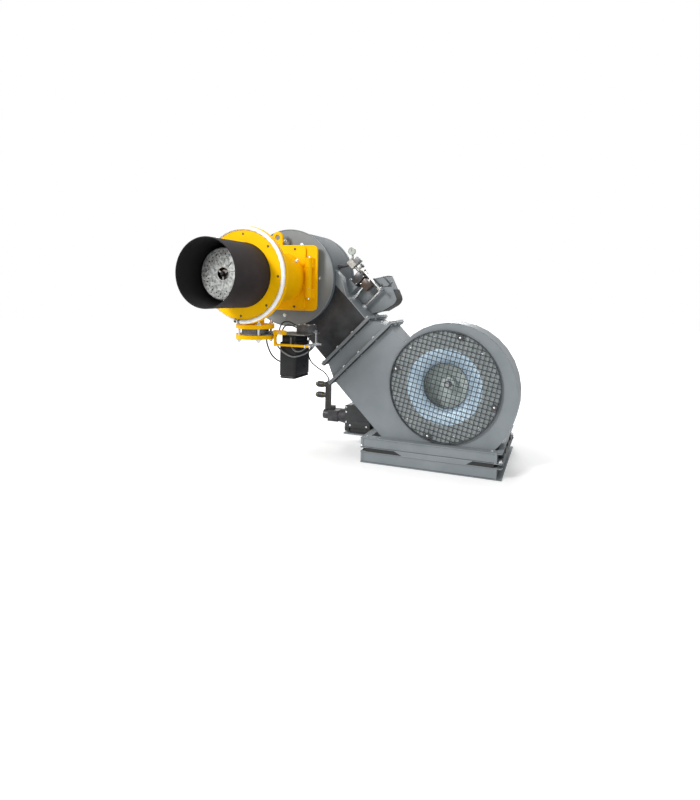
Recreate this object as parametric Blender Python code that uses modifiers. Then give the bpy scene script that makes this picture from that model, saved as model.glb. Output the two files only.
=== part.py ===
"""Industrial dual-fuel gas burner on a vibration-isolated skid, in metres, +Z up.

The flame side faces -Y. A fan stands on the skid at the right, a duct runs up to the left at 45 degrees,
and the round air drum at its end carries a yellow combustion head that swings open on a vertical hinge.
Sizes below are measured from the blast tube's axis (x = 0, z = 0) and the front face of the front ring
(y = 0). The empty named burner moves that datum so that the origin is at the middle of the base.
"""

import math

import bmesh
import bpy
from mathutils import Matrix, Vector

# Facets round a turned piece
round_sides = 28

# Running and seating clearances
gap = 0.0003
turning_gap = 0.001

# Combustion head
tube_radius = 0.160
tube_wall = 0.004
tube_projection = 0.270
ring_width = 0.059
ring_thickness = 0.012
ring_screw_offset = 0.0416
ring_screw_count = 8
ring_screw_turn = math.radians(-1)
ring_screw_hole = 0.005
rope_radius = 0.0104
flange_margin = 0.024
flange_thickness = 0.014
tube_seat = 0.024
housing_step = 0.012
housing_radius = 0.138
housing_wall = 0.005
housing_taper_start = 0.060
housing_taper_end = 0.200
diffuser_radius = 0.124
diffuser_depth = 0.147
diffuser_thickness = 0.003
diffuser_hole = 0.029
diffuser_slots = 8
lance_radius = 0.021
lance_wall = 0.004
collar_depth = 0.042
collar_thickness = 0.012
nozzle_radius = 0.012
nozzle_recess = 0.012

# Swing hinge between the head and the fixed hinge plate
hinge_plate_half_width = 0.205
hinge_plate_half_height = 0.182
hinge_plate_corner = 0.028
hinge_plate_thickness = 0.012
head_flange_right = 0.138
head_flange_thickness = 0.012
parting_y = 0.392
hinge_x = 0.163
barrel_radius = 0.019
barrel_length = 0.222
middle_knuckle = 0.116
pin_radius = 0.008
lug_radius = 0.032
lug_hole = 0.016
lug_x = -0.040
lug_height = 0.226

# Gas inlet and butterfly valve, below the head
gas_y = 0.118
gas_flange_radius = 0.096
gas_flange_thickness = 0.021
gas_top_flange_z = -0.247
gas_bore = 0.040
gas_pipe_wall = 0.005
valve_height = 0.032
valve_radius = 0.068
valve_shaft_radius = 0.006
valve_disc_thickness = 0.004
crank_hub_start = 0.112
crank_hub_end = 0.176
crank_hub_width = 0.022
crank_arm_length = 0.063
crank_arm_width = 0.016
crank_arm_thickness = 0.010
crank_rod_radius = 0.006
crank_rod_end = 0.312

# Gas servo drive
servo_low = (0.107, 0.172, -0.528)
servo_high = (0.204, 0.330, -0.338)
servo_neck_inset = 0.008
bracket_thickness = 0.005
link_reach = 0.130
link_thickness = 0.006
link_width = 0.016
gas_servo_shaft_radius = 0.006
gas_lever_x = 0.280
gearbox_right = 0.262
gearbox_width = 0.075
gearbox_depth = 0.080
gearbox_height = 0.045

# Air drum
drum_front = 0.445
drum_back = 0.760
drum_radius = 0.272
drum_plate_overhang = 0.006
drum_plate_thickness = 0.006
drum_wall = 0.004
neck_wall = 0.016
cover_thickness = 0.008
sight_radius = 0.026
sight_wall = 0.008
sight_length = 0.030

# Duct line: measured along the duct (n, positive towards the drum) and across it (u) from the drum's axis
duct_angle = math.radians(45)
fan_distance = 1.048
fan_offset = 0.250
duct_half_width = 0.171
duct_front = 0.492
duct_back = 0.735
duct_wall = 0.004
upper_joint = 0.493
lower_joint = 0.599
scroll_back = 0.670
lip = 0.028
lip_thickness = 0.008
gusset_reach = 0.055
gusset_run = 0.095
gusset_distance = 0.309
gusset_depth = 0.048

# Air damper in the duct and its servo
damper_distance = 0.396
damper_thickness = 0.004
damper_shaft_radius = 0.009
air_lever_length = 0.046
air_lever_thickness = 0.006
air_lever_width = 0.022
air_lever_reach = 0.151
air_servo_distance = 0.258
air_servo_reach = 0.061
air_servo_length = 0.080
air_servo_half_n = 0.026
air_servo_half_y = 0.050
air_servo_shaft_radius = 0.007
switch_box_depth = 0.062
air_pin_radius = 0.005
air_pin_length = 0.018
console_front = 0.640
console_back = 0.730

# Pilot gas train beside the drum
pilot_y = 0.552
pilot_reach = 0.139
pilot_distance = 0.182
pilot_half = 0.018
pilot_pipe_radius = 0.0085
pilot_coil_length = 0.034
gauge_height = 0.070
gauge_radius = 0.022
gauge_thickness = 0.014
gauge_stem_radius = 0.006

# Fan
scroll_start_radius = 0.322
scroll_end_radius = 0.465
tongue_inset = 0.006
inlet_radius = 0.298
guard_radius = 0.3045
guard_y = 0.470
guard_wire = 0.0032
guard_pitch = 0.0245
guard_turn = math.radians(12)
guard_rim = 0.014
throat_radius = 0.132
cone_depth = 0.062
cone_wall = 0.004
cone_flat_radius = 0.235
impeller_radius = 0.270
impeller_width = 0.095
impeller_overlap = 0.010
impeller_blades = 8
impeller_plate = 0.003
blade_thickness = 0.003
blade_sweep = math.radians(34)
shroud_clearance = 0.020
hub_radius = 0.038
hub_length = 0.050
shaft_radius = 0.019
stud_radius = 0.012
stud_length = 0.020
nut_radius = 0.022

# Fan motor
motor_radius = 0.118
motor_flange_radius = 0.160
motor_length = 0.300
motor_fins = 16
motor_fin_height = 0.010
cowl_length = 0.110
cowl_overlap = 0.015
cowl_wall = 0.004
motor_shoulder = 0.020
terminal_half_width = 0.055
terminal_height = 0.062
terminal_start = 0.090
terminal_length = 0.120
stand_width = 0.200
stand_start = 0.070
stand_length = 0.180
stand_wall = 0.006
saddle_height = 0.045

# Skid
floor_z = -1.011
skid_left = 0.465
skid_right = 1.210
skid_front = 0.446
skid_depth = 0.600
channel_width = 0.045
channel_wall = 0.005
lower_height = 0.064
upper_height = 0.058
isolator_height = 0.018
isolator_radius = 0.019
recess_inset = 0.060
recess_depth = 0.012
cross_rail_width = 0.044

# Oil pump set on its bracket, behind the scroll
pump_y = 0.748
pump_axis_z = -0.845
pump_motor_radius = 0.066
pump_motor_start = 0.262
pump_motor_end = 0.455
pump_bracket_thickness = 0.008
pump_flange = 0.028
bell_start = 0.200
bell_small_radius = 0.040
bell_large_radius = 0.050
oil_pump_start = 0.130
oil_pump_half_width = 0.040
oil_pump_half_height = 0.034
oil_pump_nose_start = 0.090
oil_pump_nose_radius = 0.030
manifold_start = 0.100
manifold_width = 0.028
manifold_foot_end = 0.160
manifold_half_depth = 0.016
manifold_height = 0.205
oil_valve_start = 0.030
oil_valve_radius = 0.013
oil_coil_radius = 0.019
upper_oil_valve = 0.185
lower_oil_valve = 0.118

# Cables and conduits
cable_radius = 0.004
cable_gap = 0.0006
pump_cable_distance = 0.330

# What follows from the sizes above
ring_radius = tube_radius + ring_width
ring_screw_circle = tube_radius + ring_screw_offset
flange_radius = ring_radius + flange_margin
housing_front_radius = tube_radius + housing_step
drum_plate_radius = drum_radius + drum_plate_overhang
duct_turn = Matrix.Rotation(-duct_angle, 4, "Y")
fan_centre = duct_turn @ Vector((fan_offset, 0, -fan_distance))
air_bore = housing_radius - housing_wall
hinge_y = parting_y - barrel_radius - turning_gap
gas_valve_z = gas_top_flange_z - gas_flange_thickness - valve_height / 2
gas_face_z = gas_top_flange_z - 2 * gas_flange_thickness - valve_height
duct_mid_y = (duct_front + duct_back) / 2
outlet_left = fan_offset - scroll_end_radius
outlet_right = fan_offset - tongue_inset
motor_front = scroll_back + gap
motor_back = motor_front + motor_length
scroll_growth = scroll_end_radius / scroll_start_radius
upper_rail_top = floor_z + lower_height + isolator_height + upper_height
air_servo_low_u = duct_half_width + air_servo_reach
air_servo_high_u = air_servo_low_u + air_servo_length
lever_u = duct_half_width + air_lever_reach

for old in list(bpy.data.objects):
    bpy.data.objects.remove(old, do_unlink=True)

parts = bpy.data.collections.new("gas_burner")
tools = bpy.data.collections.new("cutters_and_joins")
bpy.context.scene.collection.children.link(parts)
bpy.context.scene.collection.children.link(tools)


# Materials
def paint(name, colour, roughness, metallic=0.0):
    material = bpy.data.materials.new(name)
    material.use_nodes = True
    shader = material.node_tree.nodes["Principled BSDF"]
    shader.inputs["Base Color"].default_value = (*colour, 1)
    shader.inputs["Roughness"].default_value = roughness
    shader.inputs["Metallic"].default_value = metallic
    return material


yellow = (0.95, 0.55, 0.0)
grey = (0.25, 0.29, 0.31)


# Frames of reference
def empty(name, parent=None, place=(0, 0, 0), turn=(0, 0, 0)):
    frame = bpy.data.objects.new(name, None)
    frame.empty_display_size = 0.05
    parts.objects.link(frame)
    frame.parent = parent
    frame.location = place
    frame.rotation_euler = turn
    return frame


def hinged(name, parent, place):
    """An empty on a joint's axis, then one below it at the parent's datum, on which the moving solids hang."""
    return empty(name + "_datum", empty(name, parent, place), -Vector(place))


# Making solids
def solid(name, mesh, frame, finish=None):
    """A named part or, with no finish, a hidden shape that cuts or joins one."""
    made = bpy.data.objects.new(name, mesh)
    made.parent = frame
    if finish is None:
        tools.objects.link(made)
        made.hide_render = True
        made.display_type = "WIRE"
    else:
        parts.objects.link(made)
        mesh.materials.append(paint(name, *finish))
    return made


def round_hole(radius, sides):
    """The radius of a many-sided cutter that clears a round piece of this radius all the way round."""
    return radius / math.cos(math.pi / sides)


def mesh_from(shape, name):
    bmesh.ops.recalc_face_normals(shape, faces=shape.faces)
    mesh = bpy.data.meshes.new(name)
    shape.to_mesh(mesh)
    shape.free()
    mesh.shade_smooth()
    mesh.set_sharp_from_angle(angle=math.radians(35))
    return mesh


def block(low, high):
    low, high = Vector(low), Vector(high)
    shape = bmesh.new()
    size = Matrix.Diagonal((*(high - low), 1))
    bmesh.ops.create_cube(shape, size=1, matrix=Matrix.Translation((low + high) / 2) @ size)
    return mesh_from(shape, "block")


def tapered_block(low_x, low_y, high_x, high_y, low_z, high_z):
    """A block whose lower and upper ends are different rectangles, each given as (least, most)."""
    shape = bmesh.new()
    bmesh.ops.create_cube(shape, size=2)
    for corner in shape.verts:
        across = high_x if corner.co.z > 0 else low_x
        deep = high_y if corner.co.z > 0 else low_y
        corner.co = (across[corner.co.x > 0], deep[corner.co.y > 0], high_z if corner.co.z > 0 else low_z)
    return mesh_from(shape, "tapered_block")


def bar(start, end, radius, sides=24, end_radius=None):
    """A round bar, or a cone where the end has its own radius."""
    start, end = Vector(start), Vector(end)
    turn = (end - start).to_track_quat("Z", "Y").to_matrix().to_4x4()
    shape = bmesh.new()
    bmesh.ops.create_cone(
        shape,
        cap_ends=True,
        segments=sides,
        radius1=radius,
        radius2=radius if end_radius is None else end_radius,
        depth=(end - start).length,
        matrix=Matrix.Translation((start + end) / 2) @ turn,
    )
    return mesh_from(shape, "bar")


def profile_mesh(profile, closed):
    shape = bmesh.new()
    points = [shape.verts.new((radius, 0, height)) for radius, height in profile]
    for first, second in zip(points, points[1:]):
        shape.edges.new((first, second))
    if closed:
        shape.edges.new((points[-1], points[0]))
    mesh = bpy.data.meshes.new("profile")
    shape.to_mesh(mesh)
    shape.free()
    return mesh


along_y = (-math.pi / 2, 0, 0)
along_x = (0, math.pi / 2, 0)


def turned(name, profile, frame, finish=None, place=(0, 0, 0), turn=along_y, sides=round_sides, closed=True):
    """A turned piece: (radius, height) pairs that run down its outer side, here about the Y axis."""
    made = solid(name, profile_mesh(profile, closed), frame, finish)
    made.location = place
    made.rotation_euler = turn
    screw = made.modifiers.new("Turn", "SCREW")
    screw.steps = screw.render_steps = sides
    screw.use_merge_vertices = True
    screw.merge_threshold = 0.00001
    screw.use_smooth_shade = True
    return made


def pipe_ring(inner, outer, low, high):
    """The profile of a plain ring."""
    return [(outer, high), (outer, low), (inner, low), (inner, high)]


def curve_mesh(curve):
    """The solid of a curve as a mesh, with its caps welded to its sides."""
    made = bpy.data.objects.new("curve", curve)
    tools.objects.link(made)
    bpy.context.view_layer.update()
    mesh = bpy.data.meshes.new_from_object(made.evaluated_get(bpy.context.evaluated_depsgraph_get()))
    bpy.data.objects.remove(made)
    shape = bmesh.new()
    shape.from_mesh(mesh)
    bpy.data.meshes.remove(mesh)
    bmesh.ops.remove_doubles(shape, verts=shape.verts, dist=0.00001)
    return mesh_from(shape, "curve")


def plate(outlines, low, high, lying=False):
    """A flat plate: its outline first, then its holes. It stands, as (x, z) points from y = low to y = high,
    or lies, as (x, y) points from z = low to z = high."""
    curve = bpy.data.curves.new("outline", "CURVE")
    curve.dimensions = "2D"
    curve.fill_mode = "BOTH"
    curve.extrude = (high - low) / 2
    for outline in outlines:
        spline = curve.splines.new("POLY")
        spline.points.add(len(outline) - 1)
        for point, (across, up) in zip(spline.points, outline):
            point.co = (across, up, 0, 1)
        spline.use_cyclic_u = True
    mesh = curve_mesh(curve)
    if not lying:
        mesh.transform(Matrix.Rotation(math.pi / 2, 4, "X"))
    mesh.transform(Matrix.Translation((Vector((0, 0, 1)) if lying else Vector((0, 1, 0))) * (low + high) / 2))
    return mesh


def circle(radius, centre=(0, 0), sides=32):
    angles = [2 * math.pi * k / sides for k in range(sides)]
    return [(centre[0] + radius * math.cos(a), centre[1] + radius * math.sin(a)) for a in angles]


def rounded(low_x, high_x, low_z, high_z, radius, steps=3):
    """A rectangle with round corners."""
    corners = ((high_x - radius, high_z - radius), (low_x + radius, high_z - radius),
               (low_x + radius, low_z + radius), (high_x - radius, low_z + radius))
    points = []
    for quarter, (x, z) in enumerate(corners):
        for k in range(steps + 1):
            a = math.pi / 2 * (quarter + k / steps)
            points.append((x + radius * math.cos(a), z + radius * math.sin(a)))
    return points


def smooth_route(points, spacing):
    """Points about one spacing apart on a smooth curve through the given ones."""
    points = [Vector(p) for p in points]
    ends = [2 * points[0] - points[1], *points, 2 * points[-1] - points[-2]]
    route = []
    for before, start, end, after in zip(ends, ends[1:], ends[2:], ends[3:]):
        count = max(2, round((end - start).length / spacing))
        for k in range(count):
            t = k / count
            route.append(0.5 * (2 * start + (end - before) * t
                                + (2 * before - 5 * start + 4 * end - after) * t * t
                                + (3 * start - before - 3 * end + after) * t * t * t))
    return [*route, points[-1]]


def tube(name, points, radius, frame, finish, resolution=1):
    """A cable, conduit or rigid pipe of round section along a smooth curve."""
    curve = bpy.data.curves.new(name, "CURVE")
    curve.dimensions = "3D"
    curve.bevel_depth = radius
    curve.bevel_resolution = resolution
    curve.use_fill_caps = True
    route = smooth_route(points, 8 * radius)
    spline = curve.splines.new("POLY")
    spline.points.add(len(route) - 1)
    for point, place in zip(spline.points, route):
        point.co = (*place, 1)
    return solid(name, curve_mesh(curve), frame, finish)


def combine(target, mesh_or_object, operation, frame=None):
    other = mesh_or_object
    if isinstance(other, bpy.types.Mesh):
        other = solid(target.name + "_" + operation.lower(), other, frame or target.parent)
    change = target.modifiers.new(operation.title(), "BOOLEAN")
    change.operation = operation
    change.solver = "EXACT"
    change.object = other
    return target


def cut(target, *shapes, frame=None):
    for shape in shapes:
        combine(target, shape, "DIFFERENCE", frame)
    return target


def join(target, *shapes, frame=None):
    for shape in shapes:
        combine(target, shape, "UNION", frame)
    return target


burner = empty("burner")
duct_line = empty("duct_line", burner, turn=(0, -duct_angle, 0))
head = hinged("swing_axis", burner, (hinge_x, hinge_y, 0))
fan_axis = empty("fan_axis", burner, fan_centre)

head_yellow = (yellow, 0.38)
dark_grey = ((0.03, 0.032, 0.035), 0.5)
body_grey = (grey, 0.45)
black = ((0.012, 0.012, 0.013), 0.6)
chrome = ((0.75, 0.76, 0.78), 0.2, 1.0)
steel = ((0.45, 0.47, 0.48), 0.4, 1.0)


# The black steel blast tube carries the flame through the boiler's wall.
turned("blast_tube", pipe_ring(tube_radius - tube_wall, tube_radius, -tube_projection, ring_thickness + tube_seat),
       head, ((0.02, 0.018, 0.018), 0.75))

# The front ring clamps the rope gasket against the boiler plate; its screws pass through eight holes.
front_ring = turned("front_ring", pipe_ring(tube_radius + gap, ring_radius, 0, ring_thickness), head,
                    head_yellow)
for k in range(ring_screw_count):
    angle = 2 * math.pi * k / ring_screw_count + ring_screw_turn
    x, z = ring_screw_circle * math.cos(angle), ring_screw_circle * math.sin(angle)
    cut(front_ring, bar((x, -0.01, z), (x, ring_thickness + 0.01, z), ring_screw_hole, 8))

# The white ceramic rope lies round the ring, a little proud of its face.
rope_centre = ring_radius + gap + rope_radius
rope_y = ring_thickness - rope_radius
rope_section = [
    (rope_centre + rope_radius * math.cos(a), rope_y + rope_radius * math.sin(a))
    for a in (math.radians(30 - 60 * k) for k in range(6))
]
turned("gasket_rope", rope_section, head, ((0.9, 0.9, 0.88), 0.9))


def head_housing():
    """The yellow casting: boiler flange, round body, square rear flange, gas inlet, knuckle and lifting eye."""
    flange_front = ring_thickness + gap
    flange_back = flange_front + flange_thickness
    rear_front = parting_y - gap - head_flange_thickness
    body = turned("head_housing", [
        (0.0, parting_y - gap), (housing_radius, parting_y - gap), (housing_radius, housing_taper_end),
        (housing_front_radius, housing_taper_start), (housing_front_radius, flange_back),
        (flange_radius, flange_back), (flange_radius, flange_front), (0.0, flange_front),
    ], head, head_yellow, closed=False)
    outline = rounded(-hinge_plate_half_width, head_flange_right, -hinge_plate_half_height,
                      hinge_plate_half_height, hinge_plate_corner)
    join(body, plate([outline], rear_front, parting_y - gap - 0.0001))
    pipe_outer = gas_bore + gas_pipe_wall
    join(body,
         bar((0, gas_y, gas_top_flange_z - 0.002), (0, gas_y, -air_bore), pipe_outer, 20),
         bar((0, gas_y, gas_top_flange_z - gas_flange_thickness), (0, gas_y, gas_top_flange_z),
             gas_flange_radius, 28))
    front_bore = housing_front_radius - housing_wall
    cut(body, turned("housing_bore", [
        (0.0, parting_y + 0.02), (air_bore, parting_y + 0.02), (air_bore, housing_taper_end),
        (front_bore, housing_taper_start), (front_bore, flange_back - 0.002),
        (tube_radius + gap, flange_back - 0.002), (tube_radius + gap, flange_front - 0.02),
        (0.0, flange_front - 0.02),
    ], head, closed=False))
    cut(body, bar((0, gas_y, gas_top_flange_z - 0.05), (0, gas_y, -air_bore + 0.02), gas_bore, 20))
    lug_foot = hinge_plate_half_height - 0.010
    lug = [(lug_x - lug_radius, lug_foot), (lug_x + lug_radius, lug_foot),
           *[(lug_x + lug_radius * math.cos(math.pi * k / 8), lug_height + lug_radius * math.sin(math.pi * k / 8))
             for k in range(9)]]
    join(body, plate([lug], rear_front + 0.0001, parting_y - gap - 0.0002))
    cut(body, bar((lug_x, rear_front - 0.01, lug_height), (lug_x, parting_y + 0.01, lug_height), lug_hole, 12))
    half = middle_knuckle / 2 - gap
    leaf_left = head_flange_right - 0.020
    join(body,
         block((leaf_left, rear_front - 0.006, -half + 0.002), (hinge_x, rear_front + 0.002, half - 0.002)),
         bar((hinge_x, hinge_y, -half), (hinge_x, hinge_y, half), barrel_radius - gap, 16))
    cut(body, bar((hinge_x, hinge_y, -half - 0.01), (hinge_x, hinge_y, half + 0.01), pin_radius + gap, 16))
    return body


head_housing()

# The diffuser disc holds the flame: a dished plate with a centre hole and slots bent open round it.
diffuser = turned("diffuser", [
    (diffuser_radius, -diffuser_depth + 0.008), (diffuser_radius, -diffuser_depth + 0.008 - diffuser_thickness),
    (diffuser_radius - 0.006, -diffuser_depth), (diffuser_hole, -diffuser_depth),
    (diffuser_hole, -diffuser_depth + diffuser_thickness),
    (diffuser_radius - 0.006, -diffuser_depth + diffuser_thickness),
], head, ((0.5, 0.51, 0.5), 0.55, 0.6), sides=28)
for k in range(diffuser_slots):
    angle = 2 * math.pi * k / diffuser_slots
    slot = block((diffuser_hole + 0.008, -diffuser_depth - 0.01, -0.0025),
                 (diffuser_radius * 0.62, -diffuser_depth + 0.02, 0.0025))
    slot.transform(Matrix.Rotation(angle, 4, "Y"))
    cut(diffuser, slot)

# The gas lance carries the diffuser on three arms and bends down to the collar seated in the gas inlet's bore.
lance_front = -diffuser_depth + diffuser_thickness + gap
lance = tube("gas_lance", [(0, lance_front + 0.012, 0), (0, -0.05, 0), (0, 0.03, 0), (0, 0.085, -0.012),
                           (0, gas_y, -0.055), (0, gas_y, -0.110),
                           (0, gas_y, gas_top_flange_z + collar_depth + collar_thickness / 2)],
             lance_radius, head, steel, resolution=2)
for k in range(3):
    angle = 2 * math.pi * k / 3 + math.pi / 2
    arm = block((0.010, lance_front, -0.004), (diffuser_radius * 0.85, lance_front + 0.018, 0.004))
    arm.transform(Matrix.Rotation(angle, 4, "Y"))
    join(lance, arm)
collar_z = gas_top_flange_z + collar_depth
join(lance, bar((0, gas_y, collar_z), (0, gas_y, collar_z + collar_thickness), gas_bore - gap, 20))
cut(lance, bar((0, lance_front - 0.01, 0), (0, lance_front + 0.045, 0), nozzle_radius + gap, 20),
    bar((0, gas_y, collar_z - 0.02), (0, gas_y, -0.100), lance_radius - lance_wall, 16))

# The oil nozzle stands in the diffuser's centre hole, screwed into the front of the lance.
turned("oil_nozzle", [
    (0.0, lance_front + 0.044), (nozzle_radius, lance_front + 0.044), (nozzle_radius, lance_front - 0.006),
    (0.007, lance_front - nozzle_recess), (0.0, lance_front - nozzle_recess),
], head, ((0.6, 0.5, 0.3), 0.35, 1.0), sides=20, closed=False)


# Gas inlet: a butterfly valve between two flanges
valve_datum = hinged("gas_valve_axis", head, (0, gas_y, gas_valve_z))
valve_top = gas_top_flange_z - gas_flange_thickness - gap
valve_bottom = valve_top - valve_height + 2 * gap
lower_flange_top = valve_bottom - gap
upright = (0, 0, 0)
gas_place = (0, gas_y, 0)
turned("lower_gas_flange", pipe_ring(gas_bore, gas_flange_radius, gas_face_z, lower_flange_top), head,
       head_yellow, gas_place, upright)
butterfly_body = turned("butterfly_body", pipe_ring(gas_bore, valve_radius, valve_bottom, valve_top), head,
                        dark_grey, gas_place, upright, 20)
cut(butterfly_body, bar((-0.2, gas_y, gas_valve_z), (0.2, gas_y, gas_valve_z), valve_shaft_radius + gap, 16))

disc = solid("butterfly_disc", bar((0, gas_y, gas_valve_z - valve_disc_thickness / 2),
                                   (0, gas_y, gas_valve_z + valve_disc_thickness / 2),
                                   gas_bore - turning_gap, 20), valve_datum, steel)
join(disc, bar((-0.034, gas_y, gas_valve_z), (0.034, gas_y, gas_valve_z), 0.0095, 16))
cut(disc, bar((-0.05, gas_y, gas_valve_z), (0.05, gas_y, gas_valve_z), valve_shaft_radius + gap, 16))
solid("valve_shaft", bar((-valve_radius + 0.006, gas_y, gas_valve_z), (crank_hub_end - 0.004, gas_y, gas_valve_z),
                         valve_shaft_radius, 16), valve_datum, chrome)

# The crank on the valve's shaft has a square hub, an arm that hangs down and a long rod to the servo's link.
rod_z = gas_valve_z - crank_arm_length
hub_half = crank_hub_width / 2
crank = solid("valve_crank", block((crank_hub_start, gas_y - hub_half, gas_valve_z - hub_half),
                                   (crank_hub_end, gas_y + hub_half, gas_valve_z + hub_half)),
              valve_datum, head_yellow)
join(crank,
     block((crank_hub_start + 0.001, gas_y - crank_arm_width / 2, rod_z - crank_arm_width / 2),
           (crank_hub_start + crank_arm_thickness, gas_y + crank_arm_width / 2, gas_valve_z)),
     bar((crank_hub_start + 0.004, gas_y, rod_z), (crank_rod_end, gas_y, rod_z), crank_rod_radius, 14))
cut(crank, bar((crank_hub_start - 0.02, gas_y, gas_valve_z), (crank_hub_end - 0.004 + gap, gas_y, gas_valve_z),
               valve_shaft_radius + gap, 16))


# Gas servo: a box that hangs from a bracket plate, with a small gearbox, a lever and a link to the crank rod
bracket_low = lower_flange_top + gap
bracket_outline = [
    (-0.088, gas_y - 0.040), (0.105, gas_y - 0.040), (0.105, gas_y + 0.040), (gearbox_right, gas_y + 0.040),
    (gearbox_right, servo_high[1]), (servo_low[0] - 0.010, servo_high[1]), (-0.030, gas_y + 0.090),
    (-0.088, gas_y + 0.050),
]
bracket = solid("servo_bracket", plate([bracket_outline, circle(valve_radius + gap, (0, gas_y), 40)],
                                       bracket_low, bracket_low + bracket_thickness, lying=True),
                head, ((0.3, 0.31, 0.32), 0.4, 0.8))
box_top = bracket_low - gap
servo_box = solid("gas_servo_box", block(servo_low, servo_high), head, black)
join(servo_box, block((servo_low[0] + servo_neck_inset, servo_low[1] + servo_neck_inset, servo_high[2] - 0.004),
                      (servo_high[0] - servo_neck_inset, servo_high[1] - servo_neck_inset, box_top)))
gear_low = bracket_low + bracket_thickness + gap
gear_y = gas_y + link_reach
gearbox = solid("servo_gearbox", block((gearbox_right - gearbox_width, gear_y - gearbox_depth / 2, gear_low),
                                       (gearbox_right, gear_y + gearbox_depth / 2, gear_low + gearbox_height)),
                head, ((0.4, 0.41, 0.42), 0.4, 0.6))
cut(gearbox, bar((gearbox_right - 0.032, gear_y, gas_valve_z), (gearbox_right + 0.038, gear_y, gas_valve_z),
                 gas_servo_shaft_radius + gap, 16))
servo_datum = hinged("gas_servo_axis", head, (gearbox_right, gear_y, gas_valve_z))
lever_back = gas_lever_x + link_thickness
servo_lever = solid("gas_servo_lever", bar((gearbox_right - 0.030, gear_y, gas_valve_z),
                                           (lever_back, gear_y, gas_valve_z), gas_servo_shaft_radius, 16),
                    servo_datum, steel)
join(servo_lever,
     block((gas_lever_x, gear_y - link_width / 2, rod_z - link_width / 2),
           (lever_back, gear_y + link_width / 2, gas_valve_z + link_width / 2)),
     bar((gas_lever_x, gear_y, rod_z), (crank_rod_end, gear_y, rod_z), crank_rod_radius - 0.001, 14))
link_datum = hinged("gas_link_axis", servo_datum, (gearbox_right, gear_y, rod_z))
link_x = lever_back + turning_gap
gas_link = solid("gas_link", block((link_x, gas_y - link_width / 2, rod_z - link_width / 2),
                                   (link_x + link_thickness, gear_y + link_width / 2, rod_z + link_width / 2)),
                 link_datum, steel)
cut(gas_link,
    bar((link_x - 0.01, gas_y, rod_z), (link_x + 0.02, gas_y, rod_z), crank_rod_radius + gap, 14),
    bar((link_x - 0.01, gear_y, rod_z), (link_x + 0.02, gear_y, rod_z), crank_rod_radius - 0.001 + gap, 14))


# Hinge side that stays on the drum
def hinge_plate():
    outline = rounded(-hinge_plate_half_width, hinge_plate_half_width, -hinge_plate_half_height,
                      hinge_plate_half_height, hinge_plate_corner)
    back = parting_y + hinge_plate_thickness
    fixed = solid("hinge_plate", plate([outline, circle(air_bore, sides=round_sides)], parting_y, back),
                  burner, head_yellow)
    inner_end = middle_knuckle / 2 + gap
    outer_end = barrel_length / 2
    for side in (1, -1):
        low, high = sorted((side * inner_end, side * outer_end))
        join(fixed,
             bar((hinge_x, hinge_y, low), (hinge_x, hinge_y, high), barrel_radius, 16),
             block((hinge_x, hinge_y + 0.004, low), (hinge_x + barrel_radius + 0.006, parting_y + 0.002, high)))
        cut(fixed, bar((hinge_x, hinge_y, low - 0.01), (hinge_x, hinge_y, high + 0.01), pin_radius + gap, 16))
    return fixed


hinge_plate()
pin_top = barrel_length / 2 + 0.008
pin = solid("hinge_pin", bar((hinge_x, hinge_y, -pin_top), (hinge_x, hinge_y, pin_top), pin_radius, 16),
            burner, chrome)
join(pin, bar((hinge_x, hinge_y, barrel_length / 2 + gap), (hinge_x, hinge_y, pin_top), pin_radius + 0.003, 16))

# Air drum: neck ring, front plate, shell and rear cover with a sight glass
neck_front = parting_y + hinge_plate_thickness + gap
turned("neck_ring", pipe_ring(air_bore, air_bore + neck_wall, neck_front, drum_front - gap), burner, dark_grey)
plate_back = drum_front + drum_plate_thickness
turned("drum_front_plate", [
    (drum_plate_radius, plate_back), (drum_plate_radius, drum_front - 0.003),
    (drum_plate_radius - 0.005, drum_front - 0.003), (drum_plate_radius - 0.007, drum_front),
    (air_bore, drum_front), (air_bore, plate_back),
], burner, body_grey)
shell_back = drum_back - cover_thickness - gap
drum_shell = turned("drum_shell", pipe_ring(drum_radius - drum_wall, drum_radius, plate_back + gap, shell_back),
                    burner, body_grey)
inner_half = duct_half_width - duct_wall
cut(drum_shell, block((-inner_half, duct_front + duct_wall, -0.4), (inner_half, duct_back - duct_wall, -0.1)),
    frame=duct_line)
cover = turned("drum_rear_cover", [
    (0.0, drum_back), (drum_radius - 0.010, drum_back), (drum_radius, drum_back - 0.004),
    (drum_radius, drum_back - cover_thickness), (0.0, drum_back - cover_thickness),
], burner, body_grey, closed=False)
join(cover, bar((0, drum_back - 0.002, 0), (0, drum_back + sight_length, 0), sight_radius, 24))
cut(cover, bar((0, drum_back - 0.02, 0), (0, drum_back + sight_length + 0.01, 0), sight_radius - sight_wall, 20))


# Air duct from the drum down to the flanged joints, in the duct's own frame: x across, z along it
def lip_frame(left, right, back, low, high):
    """A flange lip that stands out all round a rectangular duct end."""
    return block((left - lip, duct_front - lip, low), (right + lip, back + lip, high))


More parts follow.
